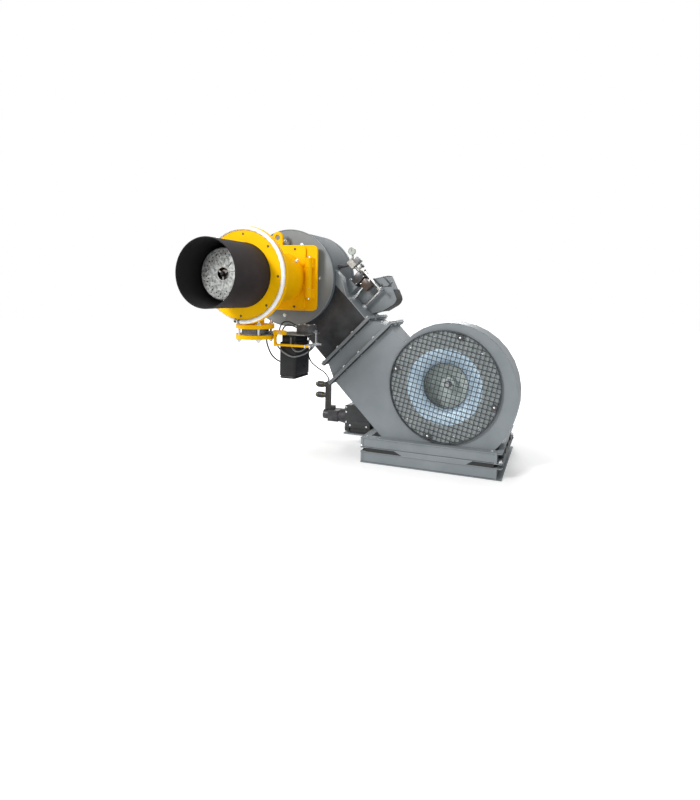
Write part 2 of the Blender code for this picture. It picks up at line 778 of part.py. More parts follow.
inner_front = duct_front + duct_wall
inner_back = duct_back - duct_wall
air_duct = solid("air_duct", block((-duct_half_width, duct_front, -upper_joint + gap),
                                   (duct_half_width, duct_back, -0.15)), duct_line, body_grey)
gusset_inner = duct_half_width - 0.002
gusset_outer = duct_half_width + gusset_reach
gusset = plate([[(gusset_inner, -gusset_distance), (gusset_outer, -gusset_distance + gusset_run),
                 (gusset_outer, -0.150), (gusset_inner, -0.150)]], duct_front, duct_front + gusset_depth)
servo_stand = block((duct_half_width - 0.002, duct_mid_y - 0.042, -air_servo_distance - 0.034),
                    (air_servo_low_u - gap, duct_mid_y + 0.042, -air_servo_distance + 0.034))
join(air_duct, gusset, servo_stand, lip_frame(-duct_half_width, duct_half_width, duct_back, -upper_joint + gap,
                                              -upper_joint + gap + lip_thickness))
cut(air_duct, block((-inner_half, inner_front, -upper_joint - 0.02), (inner_half, inner_back, -0.1)))
cut(air_duct, bar((0, duct_front - 0.1, 0), (0, duct_back + 0.1, 0), round_hole(drum_radius + gap, 48), 48))
cut(air_duct, bar((-0.3, duct_mid_y, -damper_distance), (0.3, duct_mid_y, -damper_distance),
                  damper_shaft_radius + gap, 16))

transition = solid("transition_duct", tapered_block(
    (outlet_left, outlet_right), (duct_front, scroll_back), (-duct_half_width, duct_half_width),
    (duct_front, duct_back), -lower_joint + gap, -upper_joint - gap), duct_line, body_grey)
join(transition,
     lip_frame(outlet_left, outlet_right, scroll_back, -lower_joint + gap, -lower_joint + gap + lip_thickness),
     lip_frame(-duct_half_width, duct_half_width, duct_back, -upper_joint - gap - lip_thickness,
               -upper_joint - gap))
cut(transition, tapered_block(
    (outlet_left + duct_wall, outlet_right - duct_wall), (inner_front, scroll_back - duct_wall),
    (-inner_half, inner_half), (inner_front, inner_back), -lower_joint, -upper_joint))


# Fan scroll: a spiral casing that opens into the duct joint
def scroll_outline(inset, top):
    """The spiral from its tongue clockwise round the fan, then straight up both sides of the outlet."""
    sweep = math.radians(270)
    steps = 24
    points = []
    for k in range(steps + 1):
        share = k / steps
        radius = scroll_start_radius * scroll_growth ** share - inset
        angle = math.radians(90) - sweep * share
        points.append((fan_offset + radius * math.cos(angle), -fan_distance + radius * math.sin(angle)))
    left, right = outlet_left + inset, outlet_right - inset
    return [(right, points[0][1]), *points, (left, top), (right, top)]


scroll_top = -lower_joint - gap
scroll = solid("fan_scroll", plate([scroll_outline(0, scroll_top)], duct_front, scroll_back), duct_line, body_grey)
join(scroll, lip_frame(outlet_left, outlet_right, scroll_back, scroll_top - lip_thickness, scroll_top))
cut(scroll, plate([scroll_outline(duct_wall, scroll_top + 0.02)], duct_front + duct_wall, scroll_back - duct_wall))
centre = (fan_offset, -fan_distance)
cut(scroll, plate([circle(inlet_radius - 0.012, centre, 40)], duct_front - 0.02, duct_front + 0.02),
    plate([circle(hub_radius + 0.012, centre, 24)], scroll_back - 0.02, scroll_back + 0.02))

# Fan inlet: cone, clamping ring and wire guard
turned("inlet_cone", [
    (inlet_radius, duct_front - gap), (inlet_radius, duct_front - gap - cone_wall),
    (cone_flat_radius, duct_front - gap - cone_wall), (throat_radius + 0.028, duct_front + 0.024),
    (throat_radius, duct_front + cone_depth), (throat_radius + 0.003, duct_front + cone_depth),
    (throat_radius + 0.031, duct_front + 0.026), (cone_flat_radius + 0.001, duct_front - gap),
], fan_axis, ((0.62, 0.66, 0.70), 0.3, 0.9))


def mesh_guard():
    """The wire guard: two layers of straight wires, welded to a flat rim."""
    rim_back = duct_front - gap - cone_wall - gap
    guard = turned("mesh_guard", pipe_ring(guard_radius - guard_rim, guard_radius, guard_y + 0.006, rim_back),
                   fan_axis, ((0.2, 0.22, 0.23), 0.5, 0.6))
    reach = guard_radius - guard_rim / 2
    wires = bmesh.new()
    count = int(reach / guard_pitch)
    half = guard_wire / 2
    for layer in (0, 1):
        y = guard_y + 0.0065 + half + layer * (guard_wire + 0.0005)
        for k in range(-count, count + 1):
            offset = k * guard_pitch
            length = math.sqrt(max(reach ** 2 - offset ** 2, 0.0))
            if length < guard_pitch:
                continue
            size = (length * 2, guard_wire, guard_wire) if layer == 0 else (guard_wire, guard_wire, length * 2)
            place = (0, y, offset) if layer == 0 else (offset, y, 0)
            turn = Matrix.Rotation(guard_turn, 4, "Y")
            wire = turn @ Matrix.Translation(place) @ Matrix.Diagonal((*size, 1))
            bmesh.ops.create_cube(wires, size=1, matrix=wire)
    return join(guard, mesh_from(wires, "guard_wires"))


mesh_guard()


# Fan rotor: the impeller on the motor's shaft
rotor = empty("rotor_axis", fan_axis)


def impeller():
    """A backplate, a front shroud and curved blades between them."""
    front = duct_front + cone_depth - impeller_overlap
    back = front + impeller_width
    shroud_hole = throat_radius + shroud_clearance
    wheel = turned("impeller", pipe_ring(shaft_radius + gap, impeller_radius, back - impeller_plate, back), rotor,
                   ((0.4, 0.42, 0.44), 0.35, 0.9), sides=24)
    join(wheel, turned("impeller_shroud", [
        (impeller_radius, front + 0.012 + impeller_plate), (impeller_radius, front + 0.012),
        (shroud_hole, front - 0.004), (shroud_hole, front - 0.004 + impeller_plate)], rotor, sides=24))
    join(wheel, turned("impeller_hub", pipe_ring(shaft_radius + gap, hub_radius, back - hub_length, back - 0.0005),
                       rotor, sides=20))
    inner, outer = shroud_hole + 0.006, impeller_radius - 0.001
    for k in range(impeller_blades):
        start = 2 * math.pi * k / impeller_blades
        line = []
        for step in range(3):
            share = step / 2
            radius = inner + (outer - inner) * share
            angle = start - blade_sweep * share ** 1.3
            line.append((radius, angle))
        near = [(r * math.cos(a), r * math.sin(a)) for r, a in line]
        far = [(r * math.cos(a + blade_thickness / r), r * math.sin(a + blade_thickness / r)) for r, a in line]
        join(wheel, plate([[*near, *far[::-1]]], front + 0.004, back - 0.001))
    return wheel


impeller()
shaft_front = duct_front + cone_depth - impeller_overlap + impeller_width - hub_length - 0.005
shaft = turned("motor_shaft", [
    (0.0, motor_back - 0.012), (stud_radius, motor_back - 0.012), (stud_radius, motor_back - 0.060),
    (shaft_radius, motor_back - 0.060), (shaft_radius, shaft_front), (stud_radius, shaft_front),
    (stud_radius, shaft_front - stud_length), (0.0, shaft_front - stud_length),
], rotor, steel, sides=16, closed=False)
nut = solid("hub_nut", bar((0, shaft_front - stud_length + 0.002, 0), (0, shaft_front - gap, 0), nut_radius, 6),
            rotor, chrome)
cut(nut, bar((0, shaft_front - 0.03, 0), (0, shaft_front + 0.01, 0), round_hole(stud_radius, 16) + gap, 16))

# Fan motor behind the scroll: finned frame with its flange, rear cowl and terminal box
motor_grey = ((0.12, 0.13, 0.14), 0.5)
cowl_radius = motor_radius + 0.008
seat_radius = cowl_radius - cowl_wall - gap
motor = turned("fan_motor", [
    (seat_radius, motor_back), (seat_radius, motor_back - motor_shoulder),
    (motor_radius, motor_back - motor_shoulder), (motor_radius, motor_front + 0.022),
    (motor_flange_radius, motor_front + 0.022),
    (motor_flange_radius, motor_front), (shaft_radius + turning_gap, motor_front),
    (shaft_radius + turning_gap, motor_back),
], fan_axis, motor_grey, sides=24)
fins = bmesh.new()
for k in range(motor_fins):
    turn = Matrix.Rotation(2 * math.pi * (k + 0.5) / motor_fins, 4, "Y")
    place = Matrix.Translation((motor_radius + motor_fin_height / 2 - 0.004,
                                (motor_front + motor_back) / 2 + 0.004, 0))
    size = Matrix.Diagonal((motor_fin_height + 0.008, motor_length - 0.060, 0.004, 1))
    bmesh.ops.create_cube(fins, size=1, matrix=turn @ place @ size)
join(motor, mesh_from(fins, "motor_fins"))
cowl_start = motor_back - cowl_overlap
cowl_back = cowl_start + cowl_length
turned("motor_cowl", [
    (cowl_radius - 0.014, cowl_back), (cowl_radius, cowl_back - 0.014), (cowl_radius, cowl_start),
    (cowl_radius - cowl_wall, cowl_start), (cowl_radius - cowl_wall, cowl_back - 0.016),
    (cowl_radius - 0.016, cowl_back - cowl_wall), (0.050, cowl_back - cowl_wall), (0.050, cowl_back),
], fan_axis, motor_grey, sides=24)
box_z = motor_radius + motor_fin_height
terminal_front = motor_front + terminal_start
terminal_back = terminal_front + terminal_length
boss_inset = 0.010
boss_half = terminal_half_width - 0.013
join(motor, block((-boss_half, terminal_front + boss_inset, motor_radius - 0.012),
                  (boss_half, terminal_back - boss_inset, box_z)))
solid("terminal_box", block((-terminal_half_width, terminal_front, box_z + gap),
                            (terminal_half_width, terminal_back, box_z + terminal_height)), fan_axis, motor_grey)
stand_top = fan_centre.z - motor_radius - motor_fin_height - gap
stand_half = stand_width / 2
stand_front = motor_front + stand_start
stand_back = stand_front + stand_length
stand = solid("motor_stand", block((fan_centre.x - stand_half, stand_front, upper_rail_top + gap),
                                   (fan_centre.x + stand_half, stand_back, stand_top + saddle_height)),
              burner, body_grey)
cut(stand,
    block((fan_centre.x - stand_half + stand_wall, stand_front - 0.01, upper_rail_top + 0.008),
          (fan_centre.x + stand_half - stand_wall, stand_back + 0.01, stand_top - 0.010)),
    bar((fan_centre.x, stand_front - 0.02, fan_centre.z), (fan_centre.x, stand_back + 0.02, fan_centre.z),
        motor_radius + motor_fin_height + gap, 48))


# Skid: two rectangular frames of channel, one on the other, on four rubber isolators
def rail_frame(name, low, high):
    """A welded rectangle of channels that open outwards, with two cross rails under the motor's stand."""
    back = skid_front + skid_depth
    made = solid(name, block((skid_left, skid_front, low), (skid_right, back, high)), burner, body_grey)
    cut(made, block((skid_left + channel_width, skid_front + channel_width, low - 0.01),
                    (skid_right - channel_width, back - channel_width, high + 0.01)))
    for front, rear in ((skid_front - 0.01, skid_front + recess_depth), (back - recess_depth, back + 0.01)):
        cut(made, block((skid_left + recess_inset, front, low + channel_wall + 0.008),
                        (skid_right - recess_inset, rear, high - channel_wall - 0.008)))
    return made


rail_frame("base_lower_frame", floor_z, floor_z + lower_height)
upper_low = floor_z + lower_height + isolator_height
upper_frame = rail_frame("base_upper_frame", upper_low, upper_rail_top)
cut(upper_frame, block((skid_right - channel_width - 0.01, duct_front - 0.0005, upper_low - 0.01),
                       (skid_right + 0.01, scroll_back + 0.010, upper_rail_top + 0.01)))
for x in (fan_centre.x - stand_half + 0.030, fan_centre.x + stand_half - 0.030):
    join(upper_frame, block((x - cross_rail_width / 2, scroll_back + 0.03, upper_low + 0.004),
                            (x + cross_rail_width / 2, skid_front + skid_depth - 0.02, upper_rail_top)))
for column, x in enumerate((skid_left + channel_width / 2, skid_right - channel_width / 2)):
    for row, y in enumerate((skid_front + channel_width / 2, skid_front + skid_depth - channel_width / 2)):
        bottom, top = floor_z + lower_height + gap, upper_low - gap
        waist = (bottom + top) / 2
        turned(f"isolator_{('left', 'right')[column]}_{('front', 'rear')[row]}", [
            (0.0, top), (isolator_radius, top), (isolator_radius - 0.003, waist), (isolator_radius, bottom),
            (0.0, bottom)], burner, black, (x, y, 0), upright, 16, closed=False)

# Air damper: a blade across the duct on a through shaft, its lever outside, and the servo that drives it
damper = hinged("damper_axis", duct_line, (0, duct_mid_y, -damper_distance))
blade_half_y = (duct_back - duct_front) / 2 - duct_wall - 0.003
blade_half_u = inner_half - 0.003
blade = solid("damper_blade", block(
    (-blade_half_u, duct_mid_y - blade_half_y, -damper_distance - damper_thickness / 2),
    (blade_half_u, duct_mid_y + blade_half_y, -damper_distance + damper_thickness / 2)), damper, steel)
join(blade, bar((-inner_half + 0.004, duct_mid_y, -damper_distance),
                (inner_half - 0.004, duct_mid_y, -damper_distance), damper_shaft_radius + 0.005, 16))
cut(blade, bar((-0.3, duct_mid_y, -damper_distance), (0.3, duct_mid_y, -damper_distance),
               damper_shaft_radius + gap, 16))
pin_y = duct_mid_y - air_lever_length
lever_half = air_lever_width / 2
damper_shaft = solid("damper_shaft", bar((-duct_half_width - 0.020, duct_mid_y, -damper_distance),
                                         (lever_u - 0.001, duct_mid_y, -damper_distance), damper_shaft_radius, 16),
                     damper, chrome)
join(damper_shaft,
     block((lever_u - air_lever_thickness, pin_y - lever_half, -damper_distance - lever_half),
           (lever_u, duct_mid_y + lever_half, -damper_distance + lever_half)),
     bar((lever_u - 0.004, pin_y, -damper_distance), (lever_u + air_pin_length, pin_y, -damper_distance),
         air_pin_radius, 12))

air_servo = solid("air_servo", block(
    (air_servo_low_u, duct_mid_y - air_servo_half_y, -air_servo_distance - air_servo_half_n),
    (air_servo_high_u, duct_mid_y + air_servo_half_y, -air_servo_distance + air_servo_half_n)), duct_line, black)
switch_top = -air_servo_distance - air_servo_half_n
join(air_servo, block((air_servo_low_u + 0.020, duct_mid_y - 0.040, switch_top - switch_box_depth),
                      (air_servo_high_u - 0.010, duct_mid_y + 0.012, switch_top + 0.002)))
cut(air_servo, bar((air_servo_high_u - 0.02, duct_mid_y, -air_servo_distance),
                   (air_servo_high_u + 0.02, duct_mid_y, -air_servo_distance), air_servo_shaft_radius + gap, 16))
air_servo_datum = hinged("air_servo_axis", duct_line, (0, duct_mid_y, -air_servo_distance))
air_lever = solid("air_servo_lever", bar((air_servo_high_u - 0.019, duct_mid_y, -air_servo_distance),
                                         (lever_u - 0.001, duct_mid_y, -air_servo_distance),
                                         air_servo_shaft_radius, 16),
                  air_servo_datum, steel)
join(air_lever,
     block((lever_u - air_lever_thickness, pin_y - lever_half, -air_servo_distance - lever_half),
           (lever_u, duct_mid_y + lever_half, -air_servo_distance + lever_half)),
     bar((lever_u - 0.004, pin_y, -air_servo_distance), (lever_u + air_pin_length, pin_y, -air_servo_distance),
         air_pin_radius, 12))
air_link_datum = hinged("air_link_axis", air_servo_datum, (0, pin_y, -air_servo_distance))
air_link = solid("air_link", block((lever_u + turning_gap, pin_y - 0.008, -damper_distance - 0.009),
                                   (lever_u + turning_gap + 0.006, pin_y + 0.008, -air_servo_distance + 0.009)),
                 air_link_datum, chrome)
for n in (-damper_distance, -air_servo_distance):
    cut(air_link, bar((lever_u - 0.02, pin_y, n), (lever_u + 0.03, pin_y, n), air_pin_radius + gap, 12))

# The console stands on the duct's upper side, behind the linkage: its lid slopes and its lower end is rounded.
console_side = duct_half_width + gap
console_outline = [
    (console_side, -0.310), (duct_half_width + 0.130, -0.300), (duct_half_width + 0.222, -0.360),
    (duct_half_width + 0.182, -0.478), (duct_half_width + 0.172, -0.494), (duct_half_width + 0.152, -0.503),
    (duct_half_width + 0.132, -0.503), (duct_half_width + 0.065, -0.486), (console_side, -0.450),
]
solid("linkage_console", plate([console_outline], console_front, console_back), duct_line, body_grey)

# Pilot gas train: a small valve with its coil, adjuster and pressure gauge, on a pipe out of the drum
pilot_u, pilot_n = duct_half_width + pilot_reach, -pilot_distance
pilot_centre = Vector((pilot_u, pilot_y, pilot_n))
pilot_valve = solid("pilot_valve", block((pilot_u - pilot_half, pilot_y - pilot_half, pilot_n - 0.024),
                                         (pilot_u + pilot_half, pilot_y + pilot_half, pilot_n + 0.024)), duct_line,
                    ((0.7, 0.71, 0.7), 0.4, 0.5))
pipe_start = Vector((pilot_u, 0, pilot_n)).normalized() * (drum_radius - 0.015)
gauge_place = pilot_centre + Vector((1, 0, 1)).normalized() * gauge_height
adjuster_n = pilot_n - 0.050
join(pilot_valve,
     bar((pipe_start.x, pilot_y, pipe_start.z), pilot_centre, pilot_pipe_radius, 14),
     bar(pilot_centre, gauge_place, gauge_stem_radius, 12),
     bar(pilot_centre, (pilot_u, pilot_y, adjuster_n - 0.010), pilot_pipe_radius, 14),
     bar((pilot_u, pilot_y, adjuster_n), (pilot_u + 0.034, pilot_y, adjuster_n), pilot_pipe_radius - 0.001, 14))
cut(pilot_valve, bar((0, pilot_y - 0.1, 0), (0, pilot_y + 0.1, 0), round_hole(drum_radius + gap, 48), 48))
solid("pilot_coil", block((pilot_u + pilot_half + gap, pilot_y - 0.020, pilot_n - 0.028),
                          (pilot_u + pilot_half + pilot_coil_length, pilot_y + 0.020, pilot_n + 0.006)), duct_line,
      black)
gauge_back = pilot_y - gauge_stem_radius - gap
solid("pilot_gauge", bar((gauge_place.x, gauge_back - gauge_thickness, gauge_place.z),
                         (gauge_place.x, gauge_back, gauge_place.z), gauge_radius, 20), duct_line,
      ((0.8, 0.8, 0.78), 0.3))

# Oil pump set: motor, bell housing, gear pump and its valve manifold on a cantilevered bracket
pump_foot_z = upper_low
pump_motor = solid("pump_motor", bar((pump_motor_start, pump_y, pump_axis_z),
                                     (pump_motor_end, pump_y, pump_axis_z), pump_motor_radius, 32), burner, black)
join(pump_motor, block((pump_motor_start, pump_y - 0.070, pump_axis_z - 0.074),
                       (pump_motor_start + pump_flange, pump_y + 0.070, pump_axis_z + 0.080)),
     block((pump_motor_start + 0.030, pump_y - 0.060, pump_foot_z),
           (pump_motor_end - 0.030, pump_y + 0.060, pump_axis_z - 0.040)))
solid("pump_bell_housing", bar((bell_start + gap, pump_y, pump_axis_z),
                               (pump_motor_start - gap, pump_y, pump_axis_z), bell_small_radius, 28,
                               bell_large_radius), burner, dark_grey)
oil_pump_top = pump_axis_z + oil_pump_half_height
pump = solid("oil_pump", block((oil_pump_start, pump_y - oil_pump_half_width, pump_axis_z - oil_pump_half_height),
                               (bell_start, pump_y + oil_pump_half_width, oil_pump_top)), burner, dark_grey)
join(pump, bar((oil_pump_nose_start, pump_y, pump_axis_z), (oil_pump_start + 0.002, pump_y, pump_axis_z),
               oil_pump_nose_radius, 24))
manifold_top = pump_axis_z + manifold_height
manifold_foot = (manifold_start, pump_y - manifold_half_depth, oil_pump_top + gap)
manifold_corner = (manifold_start + manifold_width, pump_y + manifold_half_depth, manifold_top)
manifold = solid("oil_manifold", block(manifold_foot, manifold_corner), burner, ((0.18, 0.17, 0.15), 0.4, 0.7))
join(manifold, block(manifold_foot, (manifold_foot_end, pump_y + manifold_half_depth, oil_pump_top + 0.022)))
for name, height in (("oil_valve_upper", upper_oil_valve), ("oil_valve_lower", lower_oil_valve)):
    level = pump_axis_z + height
    valve = solid(name, bar((oil_valve_start, pump_y, level), (manifold_start - gap, pump_y, level),
                            oil_valve_radius, 16), burner, ((0.35, 0.28, 0.14), 0.35, 0.8))
    join(valve, bar((oil_valve_start + 0.010, pump_y, level), (manifold_start - 0.018, pump_y, level),
                    oil_coil_radius, 16))

# A shelf welded under the upper frame carries the pump set.
shelf_top = pump_foot_z - gap
join(upper_frame,
     block((pump_motor_start - 0.006, pump_y - 0.075, shelf_top - pump_bracket_thickness),
           (skid_left + channel_width - 0.001, pump_y + 0.075, shelf_top)),
     block((skid_left + 0.002, pump_y - 0.073, shelf_top - 0.004),
           (skid_left + channel_width - 0.003, pump_y + 0.073, upper_low + 0.002)))

# Cables and conduits: all are held at both ends.
under_bracket = bracket_low - cable_gap
duct_side = duct_turn @ Vector((-duct_half_width - cable_gap, 0, -pump_cable_distance))
tube("valve_cable", [
    (0.000, 0.222, under_bracket), (0.001, 0.222, -0.345), (0.009, 0.225, -0.378), (0.030, 0.228, -0.418),
    (0.068, 0.230, -0.446), (servo_low[0] - cable_gap, 0.232, -0.452),
], cable_radius, head, black)
tube("servo_conduit_long", [
    (0.098, 0.158, under_bracket), (0.101, 0.157, -0.345), (0.128, 0.155, -0.377), (0.165, 0.155, -0.400),
    (0.202, 0.156, -0.409), (0.235, 0.170, -0.402), (0.252, 0.205, -0.390), (0.256, 0.260, -0.370),
    (0.250, 0.300, -0.345), (0.248, 0.310, under_bracket),
], cable_radius, head, ((0.33, 0.35, 0.35), 0.5))
tube("servo_conduit_short", [
    (0.182, 0.163, under_bracket), (0.184, 0.160, -0.345), (0.197, 0.157, -0.368), (0.215, 0.160, -0.381),
    (0.236, 0.178, -0.378), (0.246, 0.205, -0.362), (0.247, 0.232, -0.340), (0.246, 0.240, under_bracket),
], cable_radius, head, ((0.33, 0.35, 0.35), 0.5))
tube("pump_cable", [
    (manifold_start + manifold_width / 2, pump_y, manifold_top + cable_gap), (0.113, pump_y, manifold_top + 0.020),
    (0.090, 0.735, -0.582),
    (0.054, 0.705, -0.548), (0.030, 0.665, -0.505), (0.033, 0.630, -0.450), (0.070, 0.620, -0.396),
    (duct_side.x, 0.620, duct_side.z),
], cable_radius, burner, black)

# The origin is the middle of the floor under the whole burner.
scroll_right = max((duct_turn @ Vector((u, 0, n))).x for u, n in scroll_outline(0, scroll_top))
burner.location = ((drum_plate_radius - scroll_right) / 2, (tube_projection - cowl_back) / 2, -floor_z)
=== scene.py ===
import math

import bmesh
import bpy
from mathutils import Matrix, Vector


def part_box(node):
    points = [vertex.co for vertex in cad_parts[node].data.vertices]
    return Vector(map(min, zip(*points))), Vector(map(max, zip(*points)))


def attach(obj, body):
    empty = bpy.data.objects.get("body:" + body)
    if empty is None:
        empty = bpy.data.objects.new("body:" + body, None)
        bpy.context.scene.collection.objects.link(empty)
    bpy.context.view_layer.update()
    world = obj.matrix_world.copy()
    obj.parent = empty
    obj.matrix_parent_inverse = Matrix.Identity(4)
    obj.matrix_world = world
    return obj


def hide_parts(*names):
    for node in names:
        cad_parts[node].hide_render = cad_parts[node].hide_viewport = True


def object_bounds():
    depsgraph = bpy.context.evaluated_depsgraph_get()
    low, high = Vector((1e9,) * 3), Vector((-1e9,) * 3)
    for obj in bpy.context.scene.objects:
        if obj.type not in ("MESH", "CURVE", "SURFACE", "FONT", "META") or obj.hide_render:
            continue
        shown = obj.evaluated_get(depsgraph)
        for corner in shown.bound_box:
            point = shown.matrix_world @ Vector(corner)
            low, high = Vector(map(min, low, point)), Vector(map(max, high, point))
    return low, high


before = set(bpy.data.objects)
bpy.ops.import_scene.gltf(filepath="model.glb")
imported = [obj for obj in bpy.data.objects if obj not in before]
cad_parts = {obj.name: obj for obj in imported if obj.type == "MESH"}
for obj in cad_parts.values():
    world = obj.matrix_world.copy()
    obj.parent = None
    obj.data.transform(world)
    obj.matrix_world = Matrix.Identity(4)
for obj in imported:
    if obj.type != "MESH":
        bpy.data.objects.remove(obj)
cad_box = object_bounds()

# The burner stands on a pale studio floor. It is seen from the right of its fan with a wide lens, at the
# height of its head, and one large lamp at the upper left does most of the lighting.
ring_low, ring_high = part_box("front_ring")
datum = Vector(((ring_low.x + ring_high.x) / 2, ring_low.y, (ring_low.z + ring_high.z) / 2))


def at(x, y, z):
    """A place measured from the middle of the front ring's face: x to the right, y backwards, z up."""
    return datum + Vector((x, y, z))


camera = bpy.data.objects.new("camera", bpy.data.cameras.new("camera"))
bpy.context.scene.collection.objects.link(camera)
bpy.context.scene.camera = camera
heading, below_level, lean = math.radians(18.022), math.radians(2.337), math.radians(1.365)
facing = Matrix.Rotation(heading, 4, "Z") @ Matrix.Rotation(math.pi / 2 - below_level, 4, "X")
camera.matrix_world = Matrix.Translation(at(1.506, -2.105, -0.0624)) @ facing @ Matrix.Rotation(lean, 4, "Z")
camera.data.lens = 22.576
camera.data.shift_x, camera.data.shift_y = -0.0628, -0.110


def lamp(name, place, aim, power, size):
    light = bpy.data.lights.new(name, "AREA")
    light.energy, light.size = power, size
    made = bpy.data.objects.new(name, light)
    bpy.context.scene.collection.objects.link(made)
    made.location = place
    made.rotation_euler = (Vector(aim) - Vector(place)).to_track_quat("-Z", "Y").to_euler()


middle = (0, 0, 0.7)
lamp("key_lamp", (-1.9, -3.6, 2.9), middle, 150, 1.1)
lamp("right_lamp", (3.6, -2.6, 1.6), middle, 24, 1.6)
lamp("top_lamp", (0.4, 0.6, 4.2), middle, 40, 2.0)
lamp("rear_lamp", (-0.8, 4.2, 2.2), middle, 60, 1.8)

bpy.context.scene.view_settings.view_transform = "Standard"
world = bpy.data.worlds.new("studio")
bpy.context.scene.world = world
world.use_nodes = True
nodes, links = world.node_tree.nodes, world.node_tree.links
soft_light = nodes["Background"]
soft_light.inputs["Color"].default_value = (1, 1, 1, 1)
soft_light.inputs["Strength"].default_value = 0.46
white = nodes.new("ShaderNodeBackground")
white.inputs["Color"].default_value = (1, 1, 1, 1)
white.inputs["Strength"].default_value = 1.0
ray = nodes.new("ShaderNodeLightPath")
glossy_too = nodes.new("ShaderNodeMath")
glossy_too.operation = "MAXIMUM"
links.new(ray.outputs["Is Camera Ray"], glossy_too.inputs[0])
links.new(ray.outputs["Is Glossy Ray"], glossy_too.inputs[1])
through_too = nodes.new("ShaderNodeMath")
through_too.operation = "MAXIMUM"
links.new(glossy_too.outputs[0], through_too.inputs[0])
links.new(ray.outputs["Is Transmission Ray"], through_too.inputs[1])
backdrop = nodes.new("ShaderNodeMixShader")
links.new(through_too.outputs[0], backdrop.inputs[0])
links.new(soft_light.outputs[0], backdrop.inputs[1])
links.new(white.outputs[0], backdrop.inputs[2])
links.new(backdrop.outputs[0], nodes["World Output"].inputs["Surface"])

floor_shape = bmesh.new()
bmesh.ops.create_circle(floor_shape, cap_ends=True, segments=64, radius=14)
floor_mesh = bpy.data.meshes.new("floor")
floor_shape.to_mesh(floor_mesh)
floor_shape.free()
floor = bpy.data.objects.new("floor", floor_mesh)
floor.location.z = cad_box[0].z - 0.0005
bpy.context.scene.collection.objects.link(floor)
floor_white = bpy.data.materials.new("floor_white")
floor_white.use_nodes = True
nodes, links = floor_white.node_tree.nodes, floor_white.node_tree.links
nodes["Principled BSDF"].inputs["Base Color"].default_value = (0.88, 0.88, 0.88, 1)
nodes["Principled BSDF"].inputs["Roughness"].default_value = 0.9
glow = nodes.new("ShaderNodeEmission")
glow.inputs["Color"].default_value = (1, 1, 1, 1)
place = nodes.new("ShaderNodeTexCoord")
spread = nodes.new("ShaderNodeVectorMath")
spread.operation = "LENGTH"
links.new(place.outputs["Object"], spread.inputs[0])
fade = nodes.new("ShaderNodeMapRange")
fade.inputs["From Min"].default_value = 1.0
fade.inputs["From Max"].default_value = 2.6
fade.inputs["To Min"].default_value = 0.24
fade.inputs["To Max"].default_value = 1.0
links.new(spread.outputs["Value"], fade.inputs["Value"])
ray = nodes.new("ShaderNodeLightPath")
seen = nodes.new("ShaderNodeMath")
seen.operation = "MULTIPLY"
links.new(ray.outputs["Is Camera Ray"], seen.inputs[0])
links.new(fade.outputs["Result"], seen.inputs[1])
links.new(seen.outputs[0], glow.inputs["Strength"])
both = nodes.new("ShaderNodeAddShader")
links.new(nodes["Principled BSDF"].outputs[0], both.inputs[0])
links.new(glow.outputs[0], both.inputs[1])
links.new(both.outputs[0], nodes["Material Output"].inputs["Surface"])
floor_mesh.materials.append(floor_white)


